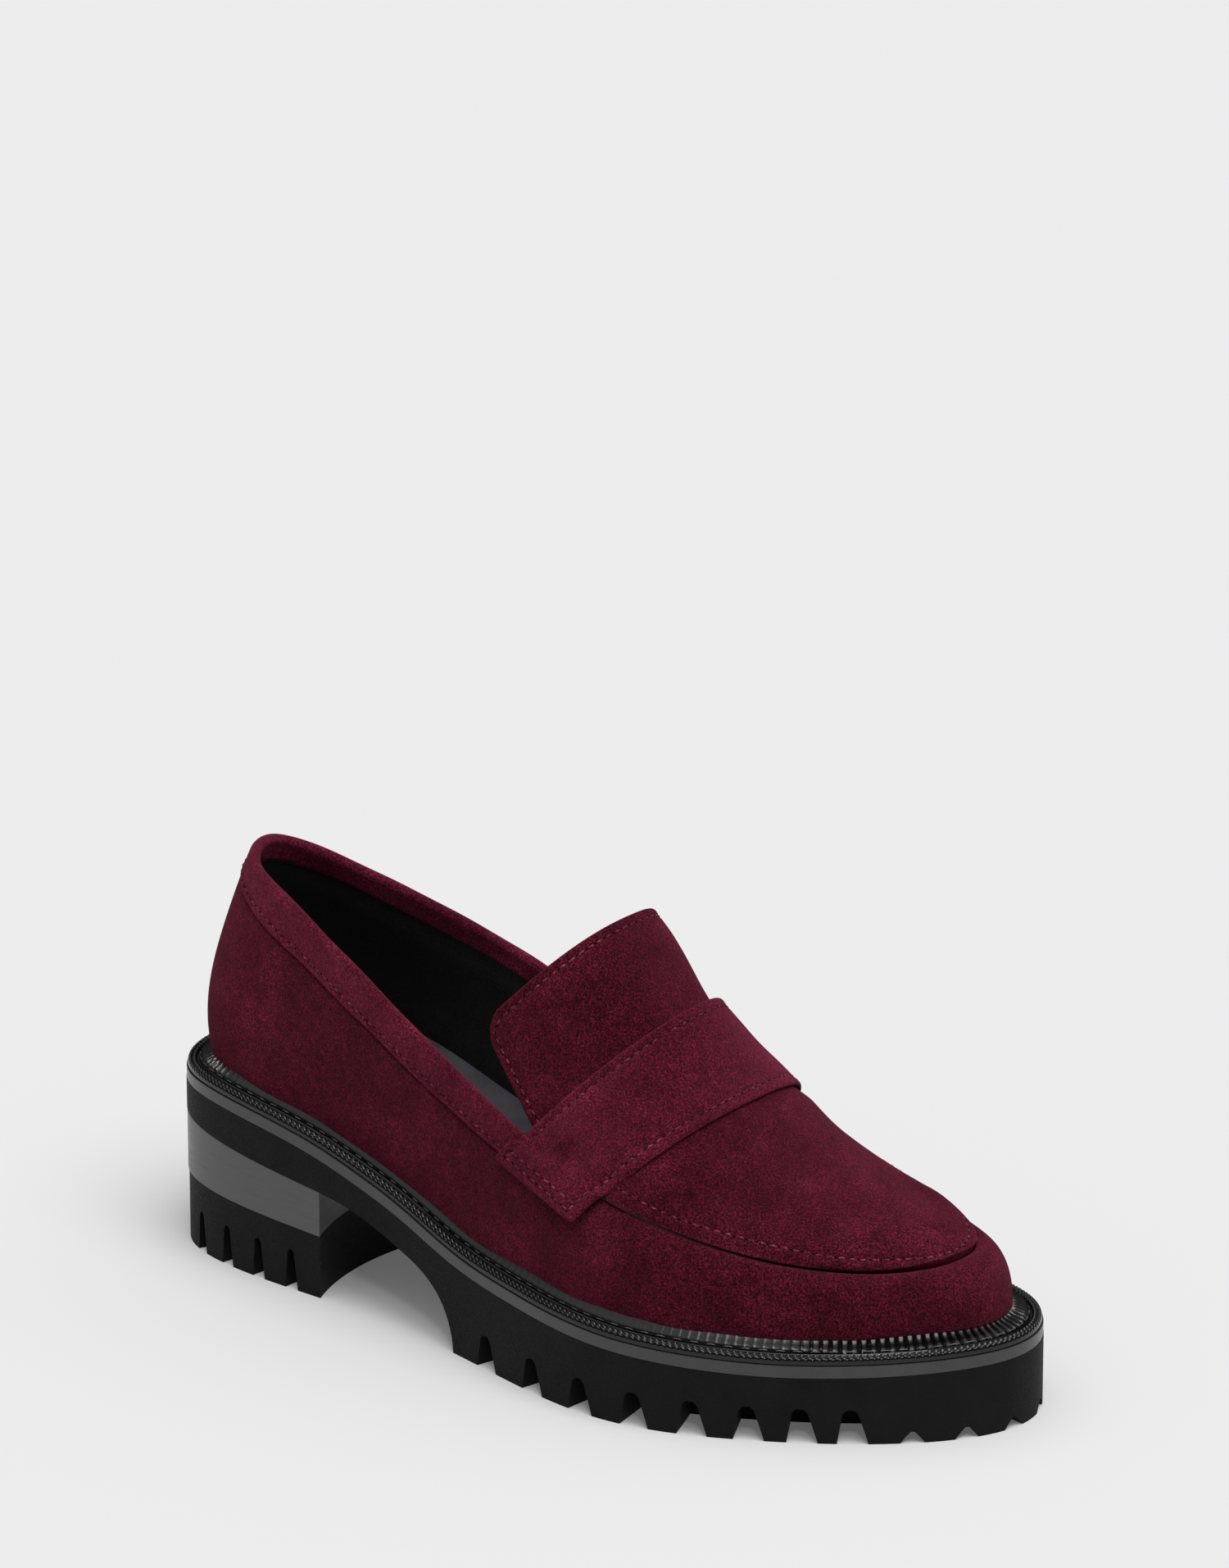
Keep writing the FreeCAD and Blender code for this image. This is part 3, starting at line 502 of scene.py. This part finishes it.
def suede(name, dark, middle, light, sheen=0.2):
    """Napped leather: fine fibres over patches where the nap lies differently."""
    material, tree, shader = new_material(name)
    place = coordinates(tree)
    patches = noise(tree, place, 45, 5, 0.62, 0.3)
    colour = ramp(tree, patches, [(0.28, dark), (0.52, middle), (0.76, light)])
    mottle = ramp(tree, noise(tree, place, 330, 3, 0.6), [(0.3, grey(0.76)), (0.7, grey(1.24))])
    colour = mix(tree, 1.0, colour, mottle, "MULTIPLY")
    grain = noise(tree, place, 1900, 3, 0.8)
    flecks = ramp(tree, grain, [(0.38, grey(0.08)), (0.5, grey(0.78)), (0.62, grey(2.9))])
    colour = mix(tree, 0.95, colour, flecks, "MULTIPLY")
    fibres = noise(tree, coordinates(tree, (1, 1.4, 0.4)), 1100, 2, 0.6, 1.4)
    tips = ramp(tree, fibres, [(0.56, grey(0.0)), (0.74, grey(1.0))])
    colour = mix(tree, ranged(tree, tips, 0, 1, 0, 0.38), colour, (*light, 1))
    link(tree, colour, shader.inputs["Base Color"])
    shader.inputs["Roughness"].default_value = 0.95
    shader.inputs["Specular IOR Level"].default_value = 0.04
    shader.inputs["Sheen Weight"].default_value = sheen
    shader.inputs["Sheen Roughness"].default_value = 0.5
    shader.inputs["Sheen Tint"].default_value = (0.8, 0.14, 0.27, 1)
    slow = bump(tree, shader, noise(tree, place, 160, 3), 0.2, 0.0006)
    bump(tree, shader, grain, 1.0, 0.0006, slow)
    return material


def smooth_black(name, base, rough, grain_scale, grain_strength, spread=0.35, shine=0.5):
    """Dark leather or rubber: fine grain, with its shine broken up."""
    material, tree, shader = new_material(name)
    place = coordinates(tree)
    cloud = noise(tree, place, 90, 4)
    low = tuple(channel * (1 - spread) for channel in base)
    high = tuple(channel * (1 + spread) for channel in base)
    link(tree, ramp(tree, cloud, [(0.3, low), (0.7, high)]), shader.inputs["Base Color"])
    fine = noise(tree, place, grain_scale, 4, 0.6)
    link(tree, ranged(tree, fine, 0.3, 0.7, rough * 0.75, min(rough * 1.3, 1)),
         shader.inputs["Roughness"])
    shader.inputs["Specular IOR Level"].default_value = shine
    bump(tree, shader, fine, grain_strength, 0.0002)
    return material


def stacked(name, base):
    """Burnished edge of leather layers: thin level lines and a soft shine."""
    material, tree, shader = new_material(name)
    place = coordinates(tree, (0.15, 0.15, 1))
    lines = noise(tree, place, 900, 3, 0.7)
    low = tuple(channel * 0.9 for channel in base)
    high = tuple(channel * 1.08 for channel in base)
    link(tree, ramp(tree, lines, [(0.35, low), (0.65, high)]), shader.inputs["Base Color"])
    link(tree, ranged(tree, lines, 0.3, 0.7, 0.28, 0.46), shader.inputs["Roughness"])
    bump(tree, shader, lines, 0.12, 0.0002)
    return material


suede_body = suede("suede", (0.028, 0.0020, 0.0055), (0.054, 0.0043, 0.0106),
                   (0.095, 0.0090, 0.0210))
# Lighter copy of the body suede for the strap and the collar: its colours are painted lighter,
# standing in for the brighter light that falls on their tops.
suede_painted_lighter = suede("suede_painted_lit", (0.038, 0.0027, 0.0082), (0.070, 0.0054, 0.0150),
                   (0.118, 0.0112, 0.0290), 0.3)
suede_thread = suede("suede_thread", (0.080, 0.012, 0.024), (0.140, 0.028, 0.048),
                     (0.240, 0.070, 0.100), 0.2)
# Near-black suede for the marks between stitches: painted shade of the needle holes.
suede_painted_hole_shade = suede("suede_painted_hole_shade", (0.010, 0.001, 0.003), (0.014, 0.0015, 0.004),
                   (0.020, 0.0025, 0.006), 0.0)
welt_leather = smooth_black("welt_leather", grey(0.0025), 0.15, 1800, 0.15, 0.35, 0.4)
midsole_edge = smooth_black("midsole_edge", grey(0.034), 0.30, 900, 0.15, 0.12, 0.5)
lining_black = smooth_black("lining_leather", (0.0050, 0.0040, 0.0046), 0.62, 1300, 0.3,
                            0.35, 0.25)
sock_grey = smooth_black("sock_leather", (0.030, 0.028, 0.035), 0.55, 1500, 0.25, 0.2, 0.4)
rubber = smooth_black("rubber", grey(0.0050), 0.62, 2600, 0.5, 0.3, 0.13)
heel_stack = stacked("stacked_leather", grey(0.068))
pale_thread, pale_tree, pale_shader = new_material("waxed_thread")
strands = noise(pale_tree, coordinates(pale_tree), 2600, 2)
link(pale_tree, ramp(pale_tree, strands, [(0.3, grey(0.03)), (0.7, grey(0.15))]),
     pale_shader.inputs["Base Color"])
pale_shader.inputs["Roughness"].default_value = 0.45
bump(pale_tree, pale_shader, strands, 0.4, 0.0001)

# ---------------------------------------------------------------- upper wall

turns = np.linspace(0, LAPS, 640, endpoint=False)
heights = wall_height(turns)
hidden = collar_width(turns) - 1.2
tops = 1 - hidden * collar_share(turns) / heights
shares = np.concatenate([[0, 0.01, 0.025], np.linspace(0.05, 0.9, 34), np.linspace(0.915, 1, 12)])
levels = shares[None] * tops[:, None]
face = wall(turns[:, None], levels)
below_top = (1 - levels) * heights[:, None]
at_apron = (1 - collar_share(turns))[:, None]
swell = softly(face, 0.22) * smooth_step(0, 6, below_top)
swell = swell - 0.55 * at_apron * bell(below_top, 1.6)
sewn = 0.4 * (1 - at_apron) * collar_relief(turns)[:, None]
swell = swell - sewn * bell(below_top - collar_width(turns)[:, None], 0.9)
outer_wall = face + normals_of(face, True) * swell[..., None]
wall_piece = piece("vamp_and_quarters", *shell(outer_wall, SKIN, closed=True), suede_body,
                   "suede", ("vamp_quarters",))
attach(wall_piece, "shoe")

# ---------------------------------------------------------------- collar

turns = np.linspace(-COLLAR_END - 0.1, COLLAR_END + 0.1, 420)
heights = wall_height(turns)
outside = COLLAR_WIDTH - edge_rows(COLLAR_WIDTH + 5, 12)
outside = outside[outside > 0.05]
arc = np.linspace(0, math.pi, 17)
inside = np.linspace(0.2, COLLAR_INSIDE, 14)
top = wall(turns, 1)
upward = unit(top - wall(turns, 0.98))


def beside_wall(depth_below, offset):
    """Points beside the wall, a distance below its top and a distance out from it."""
    at = wall(turns[:, None], 1 - depth_below / heights[:, None])
    return at + normals_of(at) * offset[..., None]


from_seam = (COLLAR_WIDTH - outside) * (collar_width(turns) / COLLAR_WIDTH)[:, None]
to_top = collar_width(turns)[:, None] - from_seam
puff = sewn_height(from_seam, 0.7, 0.5, (COLLAR_SEAM_IN,)) - 0.2 * smooth_step(6, 0, to_top)
puff = puff * collar_relief(turns)[:, None]
outer_band = beside_wall(to_top, puff)
across = unit(outer_band[:, -1] - wall(turns, 1 - to_top[:, -1] / heights))
rim_out = puff[:, -1:]
centre = top + across * (rim_out - COLLAR_RADIUS)
over_top = (centre[:, None] + across[:, None] * (COLLAR_RADIUS * np.cos(arc))[None, :, None]
            + upward[:, None] * (COLLAR_RADIUS * np.sin(arc))[None, :, None])
turned_in = rim_out - 2 * COLLAR_RADIUS + 0.35 * smooth_step(COLLAR_INSIDE - 1.2, COLLAR_INSIDE,
                                                             inside[::-1])
inner_band = beside_wall(inside[None, ::-1], turned_in)[:, ::-1]
collar_grid = np.concatenate([outer_band, over_top, inner_band], axis=1)
collar_grid = collar_grid + normals_of(collar_grid) * softly(collar_grid, 0.12)[..., None]
collar = piece("collar_binding_padded", *shell(collar_grid, 0.8), suede_painted_lighter, "suede",
               ("collar_binding", "collar_padding"))
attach(collar, "shoe")

line = int(np.argmin(np.abs(outside - (COLLAR_WIDTH - COLLAR_SEAM_IN))))
for item in seam_row("collar", [(collar_grid[:, line], normals_of(collar_grid)[:, line])]):
    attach(item, "shoe")

turns = np.linspace(-4.9, 4.9, 400)
heights = wall_height(turns)
below = (COLLAR_INSIDE - 1.0) * collar_share(turns) + 4.5 * (1 - collar_share(turns))
ends = 1 - below / heights
levels = ends[:, None] + (0.05 - ends)[:, None] * np.linspace(0, 1, 30)
lining_at = wall(turns[:, None], levels)
lining_depth = 2.5 + 1.1 * smooth_step(0, 8, (ends[:, None] - levels) * heights[:, None])
lining_grid = lining_at - normals_of(lining_at[:, ::-1])[:, ::-1] * (lining_depth - 0.7)[..., None]
lining = piece("quarter_lining_sheet", *shell(lining_grid[:, ::-1], 0.7), lining_black,
               "lining_leather", ("quarter_lining",))
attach(lining, "shoe")

# ---------------------------------------------------------------- apron


def find_on_instep(targets):
    """Positions and angles whose instep points have the given x and y."""
    positions, angles = np.meshgrid(np.linspace(0, 7, 71), np.linspace(-84, 84, 85),
                                    indexing="ij")
    cloud = instep(positions, angles)[..., :2].reshape(-1, 2)
    nearest = np.argmin(((targets[:, None] - cloud[None]) ** 2).sum(-1), axis=1)
    p, a = positions.ravel()[nearest], angles.ravel()[nearest]
    for _ in range(8):
        here = instep(p, a)[..., :2]
        dp = (instep(p + 0.01, a)[..., :2] - here) / 0.01
        da = (instep(p, a + 0.1)[..., :2] - here) / 0.1
        miss = targets - here
        size = dp[:, 0] * da[:, 1] - dp[:, 1] * da[:, 0]
        p = np.clip(p + (miss[:, 0] * da[:, 1] - miss[:, 1] * da[:, 0]) / size, 0, 7)
        a = np.clip(a + (dp[:, 0] * miss[:, 1] - dp[:, 1] * miss[:, 0]) / size, -86, 86)
    return p, a


turns = np.linspace(4.25, LAPS - 4.25, 241)
seam = on_loop(TOP_POLES, turns)
edge_p, edge_a = find_on_instep(seam[:, :2])
spine_p = np.minimum((edge_p + edge_p[::-1]) / 2, edge_p.max() - 0.75)
drop = seam[:, 2] - instep(edge_p, edge_a)[:, 2]


def lid_places(share):
    """Instep positions and angles between the seam, share 0, and the spine, share 1."""
    return edge_p[:, None] + (spine_p - edge_p)[:, None] * share, edge_a[:, None] * (1 - share)


def instep_normals(p, a):
    """Outward directions of the instep face."""
    steps = instep(p + 0.03, a) - instep(p - 0.03, a)
    return unit(np.cross(steps, instep(p, a + 1.5) - instep(p, a - 1.5)))


def seam_distance(points):
    """Distance of each point from the apron's seam."""
    flat = points.reshape(-1, 3)
    gaps = [np.linalg.norm(seam - point, axis=-1).min() for point in flat]
    return np.array(gaps).reshape(points.shape[:-1])


samples = np.linspace(0, 1, 60)
fine = instep(*lid_places(samples[None]))
reach = np.concatenate([np.zeros((len(turns), 1)),
                        np.cumsum(np.linalg.norm(np.diff(fine, axis=1), axis=-1), 1)], 1)
near = np.array([0, 0.12, 0.28, 0.5, 0.75, 1.0, 1.5, 2.1, 2.6, 3.1, 3.6, 4.2, 5.2])
far = np.linspace(0.04, 1, 22)
shares = np.stack([np.interp(np.concatenate([near, near[-1] + far * (length[-1] - near[-1])]),
                             length, samples) for length in reach])
lid_p, lid_a = lid_places(shares)
lid = instep(lid_p, lid_a)
apart = seam_distance(lid)
apart[:, 0] = 0
lid[..., 2] += drop[:, None] * (1 - smooth_step(0, 14, apart))
under_strap = 1 - smooth_step(STRAP_FRONT - 0.05, STRAP_FRONT + 0.3, lid_p)
thick = LID_THICK - 0.9 * under_strap
raised = (sewn_height(apart, thick, 1.5, (APRON_SEAM_IN,))
          + softly(lid, 0.12) * smooth_step(2, 8, apart))
lid_normals = instep_normals(lid_p, lid_a)
lid_outer = lid + lid_normals * raised[..., None]
apron = piece("apron_lid", *shell(lid_outer, 1.9, lid_normals, spine=True), suede_body,
              "suede", ("apron",))
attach(apron, "shoe")


def row_at(grid, apart_grid, distance, normals):
    """Line of points of a grid at a distance from its edge, with their normals."""
    line, over = [], []
    for column, gaps, directions in zip(grid, apart_grid, normals):
        line.append([np.interp(distance, gaps, column[:, axis]) for axis in range(3)])
        over.append([np.interp(distance, gaps, directions[:, axis]) for axis in range(3)])
    return np.array(line), np.array(over)


# The apron's stitches stop where the strap covers them.
shown = slice(14, -14)
apron_row = row_at(lid_outer[shown, :16], apart[shown, :16], APRON_SEAM_IN,
                   lid_normals[shown, :16])
for item in seam_row("apron", [apron_row]):
    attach(item, "shoe")

# ---------------------------------------------------------------- strap

support = wall(np.linspace(0, LAPS, 481)[:, None], np.linspace(0, 1, 61)[None])
support_index = np.arange(support[..., 0].size).reshape(support.shape[:2])
wall_tree = BVHTree.FromPolygons(support.reshape(-1, 3).tolist(), quads(support_index).tolist())


def clear_of_wall(points, clearance, hold):
    """Points moved out to a clearance from the wall; where hold is 1 also moved in to it."""
    moved = points.copy()
    for place in np.ndindex(points.shape[:-1]):
        point = Vector(points[place])
        nearest, normal, _, distance = wall_tree.find_nearest(point)
        gap = (point - nearest).dot(normal)
        square = float(smooth_step(0.75, 0.97, abs(gap) / max(distance, 1e-6)))
        short = clearance[place] - gap
        share = 1.0 if short > 0 else hold[place]
        moved[place] = points[place] + np.array(normal) * short * share * square
    return moved


strap_width = (STRAP_FRONT - STRAP_REAR) * STRAP_PITCH
from_rear = edge_rows(strap_width, 14)
positions = STRAP_REAR + from_rear / STRAP_PITCH
samples = np.linspace(0, 1, 200)
strap_rows, strap_apart, ends = [], [], []
for position, to_rear in zip(positions, from_rear):
    forward = to_rear / strap_width
    low, high = -76.5 - 6.0 * forward, 77.0
    angles = low + (high - low) * samples
    walked = lengths_along(instep(np.full_like(angles, position), angles))
    from_end = edge_rows(walked[-1], 60)
    to_side = np.minimum(to_rear, strap_width - to_rear)
    to_end = np.minimum(from_end, walked[-1] - from_end)
    cut = STRAP_CORNER - math.sqrt(STRAP_CORNER ** 2 - max(STRAP_CORNER - to_side, 0) ** 2)
    from_end = cut + from_end * (1 - 2 * cut / walked[-1])
    strap_rows.append(instep(position, np.interp(from_end, walked, angles)))
    strap_apart.append(edge_distance(to_side, to_end + cut, STRAP_CORNER))
    ends.append(to_end)
strap_base, strap_apart, ends = (np.array(field) for field in (strap_rows, strap_apart, ends))
strap_heights = (sewn_height(strap_apart, STRAP_THICK)
                 - 0.2 * bell(ends - STRAP_END_SEAM_IN, 0.5))
strap_normals = normals_of(strap_base)
strap_outer = strap_base + strap_normals * (STRAP_LEVEL - STRAP_THICK + strap_heights)[..., None]
strap_outer = clear_of_wall(strap_outer, 0.9 + strap_heights, 1 - smooth_step(6, 22, ends))
strap = piece("saddle_strap", *shell(strap_outer, 1.9), suede_painted_lighter, "suede",
              ("strap", "strap_backing"))
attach(strap, "shoe")

strap_normals = normals_of(strap_outer)
rows = []
for side in (SEAM_IN, strap_width - SEAM_IN):
    row = int(np.argmin(np.abs(from_rear - side)))
    rows.append((strap_outer[row, 8:-8], strap_normals[row, 8:-8]))
for from_end in (SEAM_IN, STRAP_END_SEAM_IN):
    column = int(np.argmin(np.abs(ends[0, :40] - from_end)))
    for end in (column, -1 - column):
        rows.append((strap_outer[8:-8, end], strap_normals[8:-8, end]))
for item in seam_row("strap", rows):
    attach(item, "shoe")

# ---------------------------------------------------------------- tongue

angles = np.linspace(*TONGUE_REACH, 300)
walked = lengths_along(tongue_face(0.0, angles))
from_side = edge_rows(walked[-1], 50)
angles = np.interp(from_side, walked, angles)
to_side = np.minimum(from_side, walked[-1] - from_side)
start = TONGUE_CORNER - np.sqrt(TONGUE_CORNER ** 2 - np.maximum(TONGUE_CORNER - to_side, 0) ** 2)
from_end = edge_rows(TONGUE_LENGTH, 16)[:-6]
down = start[None] + from_end[:, None] * (1 - start[None] / TONGUE_LENGTH)
tongue_base = tongue_face(down / TONGUE_LENGTH, angles[None])
tongue_apart = edge_distance(to_side[None], down, TONGUE_CORNER)
tongue_normals = normals_of(tongue_base)
tongue_heights = sewn_height(tongue_apart, 0.5) + softly(tongue_base, 0.12)
tongue_outer = tongue_base + tongue_normals * tongue_heights[..., None]
tongue = piece("tongue_flap", *shell(tongue_outer, TONGUE_THICK), suede_body, "suede",
               ("tongue",))
tongue_normals = normals_of(tongue_outer)
# The lining stops 1 mm inside the tongue's edge, which is five lines of its grid.
within = np.s_[5:, 5:-5]
tongue_under = tongue_outer[within] - tongue_normals[within] * (TONGUE_THICK + 0.15)
tongue_back = piece("tongue_lining_sheet", *shell(tongue_under, 0.7), lining_black,
                    "lining_leather", ("tongue_lining",))
first_column = int(np.argmin(np.abs(from_side - SEAM_IN)))
last_column = len(from_side) - 1 - first_column
end_row = int(np.argmin(np.abs(from_end - SEAM_IN)))
tongue_path = [(row, first_column) for row in range(len(from_end) - 1, end_row, -1)]
tongue_path += [(end_row, column) for column in range(first_column, last_column + 1)]
tongue_path += [(row, last_column) for row in range(end_row + 1, len(from_end))]
path = np.array([tongue_outer[place] for place in tongue_path])
over = np.array([tongue_normals[place] for place in tongue_path])
for item in (tongue, tongue_back, *seam_row("tongue", [(path, over)])):
    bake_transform(item)

# ---------------------------------------------------------------- welt


def spaced_turns(count):
    """Turns of the outline an even distance apart, and the distance to each."""
    fine_turns = np.linspace(0, LAPS, 4001)
    walked = lengths_along(outline(fine_turns)[0])
    distances = np.arange(count) * walked[-1] / count
    return np.interp(distances, walked, fine_turns), distances, walked[-1]


perimeter = spaced_turns(8)[2]
notches = round(perimeter / NOTCH_PITCH)
turns, distances, _ = spaced_turns(notches * 8)
profile = np.array([(0.55, 0.15), (0.45, 0.9), (0.5, 1.5), (0.7, 2.05), (1.0, 2.35),
                    (1.3, 2.35), (1.55, 2.1), (1.75, 1.95), (1.95, 2.15), (2.25, 2.45),
                    (2.6, 2.4), (2.85, 2.0), (3.0, 1.55), (3.2, 1.35), (3.5, 1.35),
                    (3.75, 1.7), (4.0, 2.1), (4.6, 2.2), (9.5, 2.2), (9.5, 0.15)])
insets = np.tile(profile[:, 0], (len(turns), 1))
heights = np.tile(profile[:, 1], (len(turns), 1))
phase = 2 * math.pi * (distances / perimeter * notches)[:, None] + 1.3 * insets
on_bead = bell(insets - 1.15, 0.55) + bell(insets - 2.4, 0.5)
heights = heights - 0.5 * on_bead * np.abs(np.cos(phase / 2)) ** 4 * (heights > 1)
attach(piece("welt_strip", *ring(turns, insets, heights), welt_leather, "welt_leather",
              ("welt",)), "shoe")

# ---------------------------------------------------------------- storm rib

ridges = round(perimeter / RIB_PITCH)
turns, distances, _ = spaced_turns(ridges * 10)
feather = along(FEATHER, outline(turns)[0][:, 0])
station = outline(turns)[0][:, 0]
shape = np.array([(0.0, 2.3), (0.02, 2.9), (0.1, 3.3), (0.25, 3.6), (0.45, 3.95), (0.65, 4.3),
                  (0.85, 4.75), (0.95, 4.95), (1.0, 4.9), (1.0, 2.3)])
foot, wall_side = 3.9, feather + 0.35
insets = foot + shape[None, :, 0] * (wall_side - foot)[:, None]
heights = np.tile(shape[:, 1], (len(turns), 1))
strength = smooth_step(222, 246, station) + 1 - smooth_step(14, 34, station)
crest = np.abs(np.cos(math.pi * distances / perimeter * ridges)) ** 8
on_slope = np.array([0, 1, 1, 1, 1, 1, 0.8, 0.3, 0, 0])
heights = heights + (0.1 + 0.9 * strength[:, None]) * (crest[:, None] - 0.6) * on_slope
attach(piece("storm_rib_strip", *ring(turns, insets, heights), welt_leather, "welt_leather",
              ("storm_rib",)), "shoe")

turns = np.linspace(0, LAPS, 1600)
edge, outward = outline(turns, 3.95)
level = edge_height(edge[:, 0]) + MIDSOLE + 2.75
path = np.concatenate([edge, level[:, None]], -1)
over = unit(np.concatenate([outward, np.ones((len(turns), 1))], -1))
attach(piece("welt_thread", *stitches(path, over, WELT_THREAD_PITCH, 3.0, 0.14),
              pale_thread, "welt_leather"), "shoe")

# ---------------------------------------------------------------- pieces kept from the CAD

finishes = {"rubber": rubber, "stacked_leather": heel_stack, "midsole_leather": midsole_edge,
            "lining_leather": lining_black, "sock_leather": sock_grey}
plain = {"foam": ((0.32, 0.30, 0.27), 0.9), "board": ((0.30, 0.20, 0.11), 0.8),
         "cork": ((0.34, 0.19, 0.09), 0.9), "steel": ((0.45, 0.45, 0.46), 0.3),
         "stiffener": ((0.42, 0.38, 0.31), 0.85)}
for slot, (base, rough) in plain.items():
    finishes[slot] = smooth_black("inner_" + slot, base, rough, 1200, 0.3, 0.2)
slots = {"outsole": "rubber", "heel_top_piece": "rubber", "midsole": "midsole_leather",
         "vamp_lining": "lining_leather", "sock_liner": "sock_leather",
         "heel_lift_1": "stacked_leather", "heel_lift_2": "stacked_leather",
         "heel_lift_3": "stacked_leather",
         "footbed_foam": "foam", "insole_board": "board", "cork_filler": "cork", "shank": "steel",
         "heel_nails": "steel", "heel_counter": "stiffener", "toe_puff": "stiffener"}
for node, slot in slots.items():
    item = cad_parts[node]
    for place in range(max(len(item.material_slots), 1)):
        if place < len(item.material_slots):
            item.material_slots[place].material = finishes[slot]
        else:
            item.data.materials.append(finishes[slot])

# ---------------------------------------------------------------- floor, lights and camera

floor_mesh = bpy.data.meshes.new("floor")
floor_mesh.from_pydata([(-9, -9, 0), (9, -9, 0), (9, 9, 0), (-9, 9, 0)], [], [(0, 1, 2, 3)])
floor = bpy.data.objects.new("floor", floor_mesh)
bpy.context.scene.collection.objects.link(floor)
floor_material, _, floor_shader = new_material("floor_paper")
floor_shader.inputs["Base Color"].default_value = (0.62, 0.62, 0.62, 1)
floor_shader.inputs["Emission Color"].default_value = (1, 1, 1, 1)
floor_shader.inputs["Emission Strength"].default_value = 0.10
floor_shader.inputs["Roughness"].default_value = 0.9
floor_shader.inputs["Specular IOR Level"].default_value = 0.0
floor_mesh.materials.append(floor_material)

world = bpy.data.worlds.new("studio")
bpy.context.scene.world = world
world.use_nodes = True
sky = world.node_tree.nodes["Background"]
sky_place = world.node_tree.nodes.new("ShaderNodeTexCoord")
sky_parts = world.node_tree.nodes.new("ShaderNodeSeparateXYZ")
link(world.node_tree, sky_place.outputs["Generated"], sky_parts.inputs["Vector"])
link(world.node_tree, ramp(world.node_tree, sky_parts.outputs["Z"],
                           [(0.0, grey(0.05)), (0.4, grey(0.09)), (0.75, grey(0.75)),
                            (1.0, grey(1.05))]), sky.inputs["Color"])
sky.inputs["Strength"].default_value = 1.0


def sun(name, strength, spread, azimuth, elevation):
    """Soft distant light; azimuth is measured from +X towards +Y."""
    data = bpy.data.lights.new(name, "SUN")
    data.energy = strength
    data.angle = math.radians(spread)
    item = bpy.data.objects.new(name, data)
    flat, steep = math.radians(azimuth), math.radians(elevation)
    towards = Vector((math.cos(flat) * math.cos(steep), math.sin(flat) * math.cos(steep),
                      math.sin(steep)))
    item.rotation_euler = towards.to_track_quat("Z", "Y").to_euler()
    bpy.context.scene.collection.objects.link(item)


sun("key", 1.75, 40, -15, 68)
sun("glint", 0.4, 7, -50, 48)

VIEW_AZIMUTH, VIEW_ELEVATION = math.radians(38.14), math.radians(21.18)
LOOK_AT, VIEW_DISTANCE, LENS = Vector((0, 0.0052, 0.045)), 2.3546, 200.8
forward = Vector((-math.sin(VIEW_AZIMUTH) * math.cos(VIEW_ELEVATION),
                  math.cos(VIEW_AZIMUTH) * math.cos(VIEW_ELEVATION), -math.sin(VIEW_ELEVATION)))
right = Vector((math.cos(VIEW_AZIMUTH), math.sin(VIEW_AZIMUTH), 0))
above = right.cross(forward)
camera_data = bpy.data.cameras.new("camera")
camera_data.lens = LENS
camera_data.sensor_width = 36
camera = bpy.data.objects.new("camera", camera_data)
camera.location = LOOK_AT - forward * VIEW_DISTANCE
aim = LOOK_AT + above * 0.1014 + right * 0.0044
camera.rotation_euler = (aim - camera.location).to_track_quat("-Z", "Y").to_euler()
bpy.context.scene.collection.objects.link(camera)
bpy.context.scene.camera = camera
bpy.context.scene.view_settings.view_transform = "Standard"
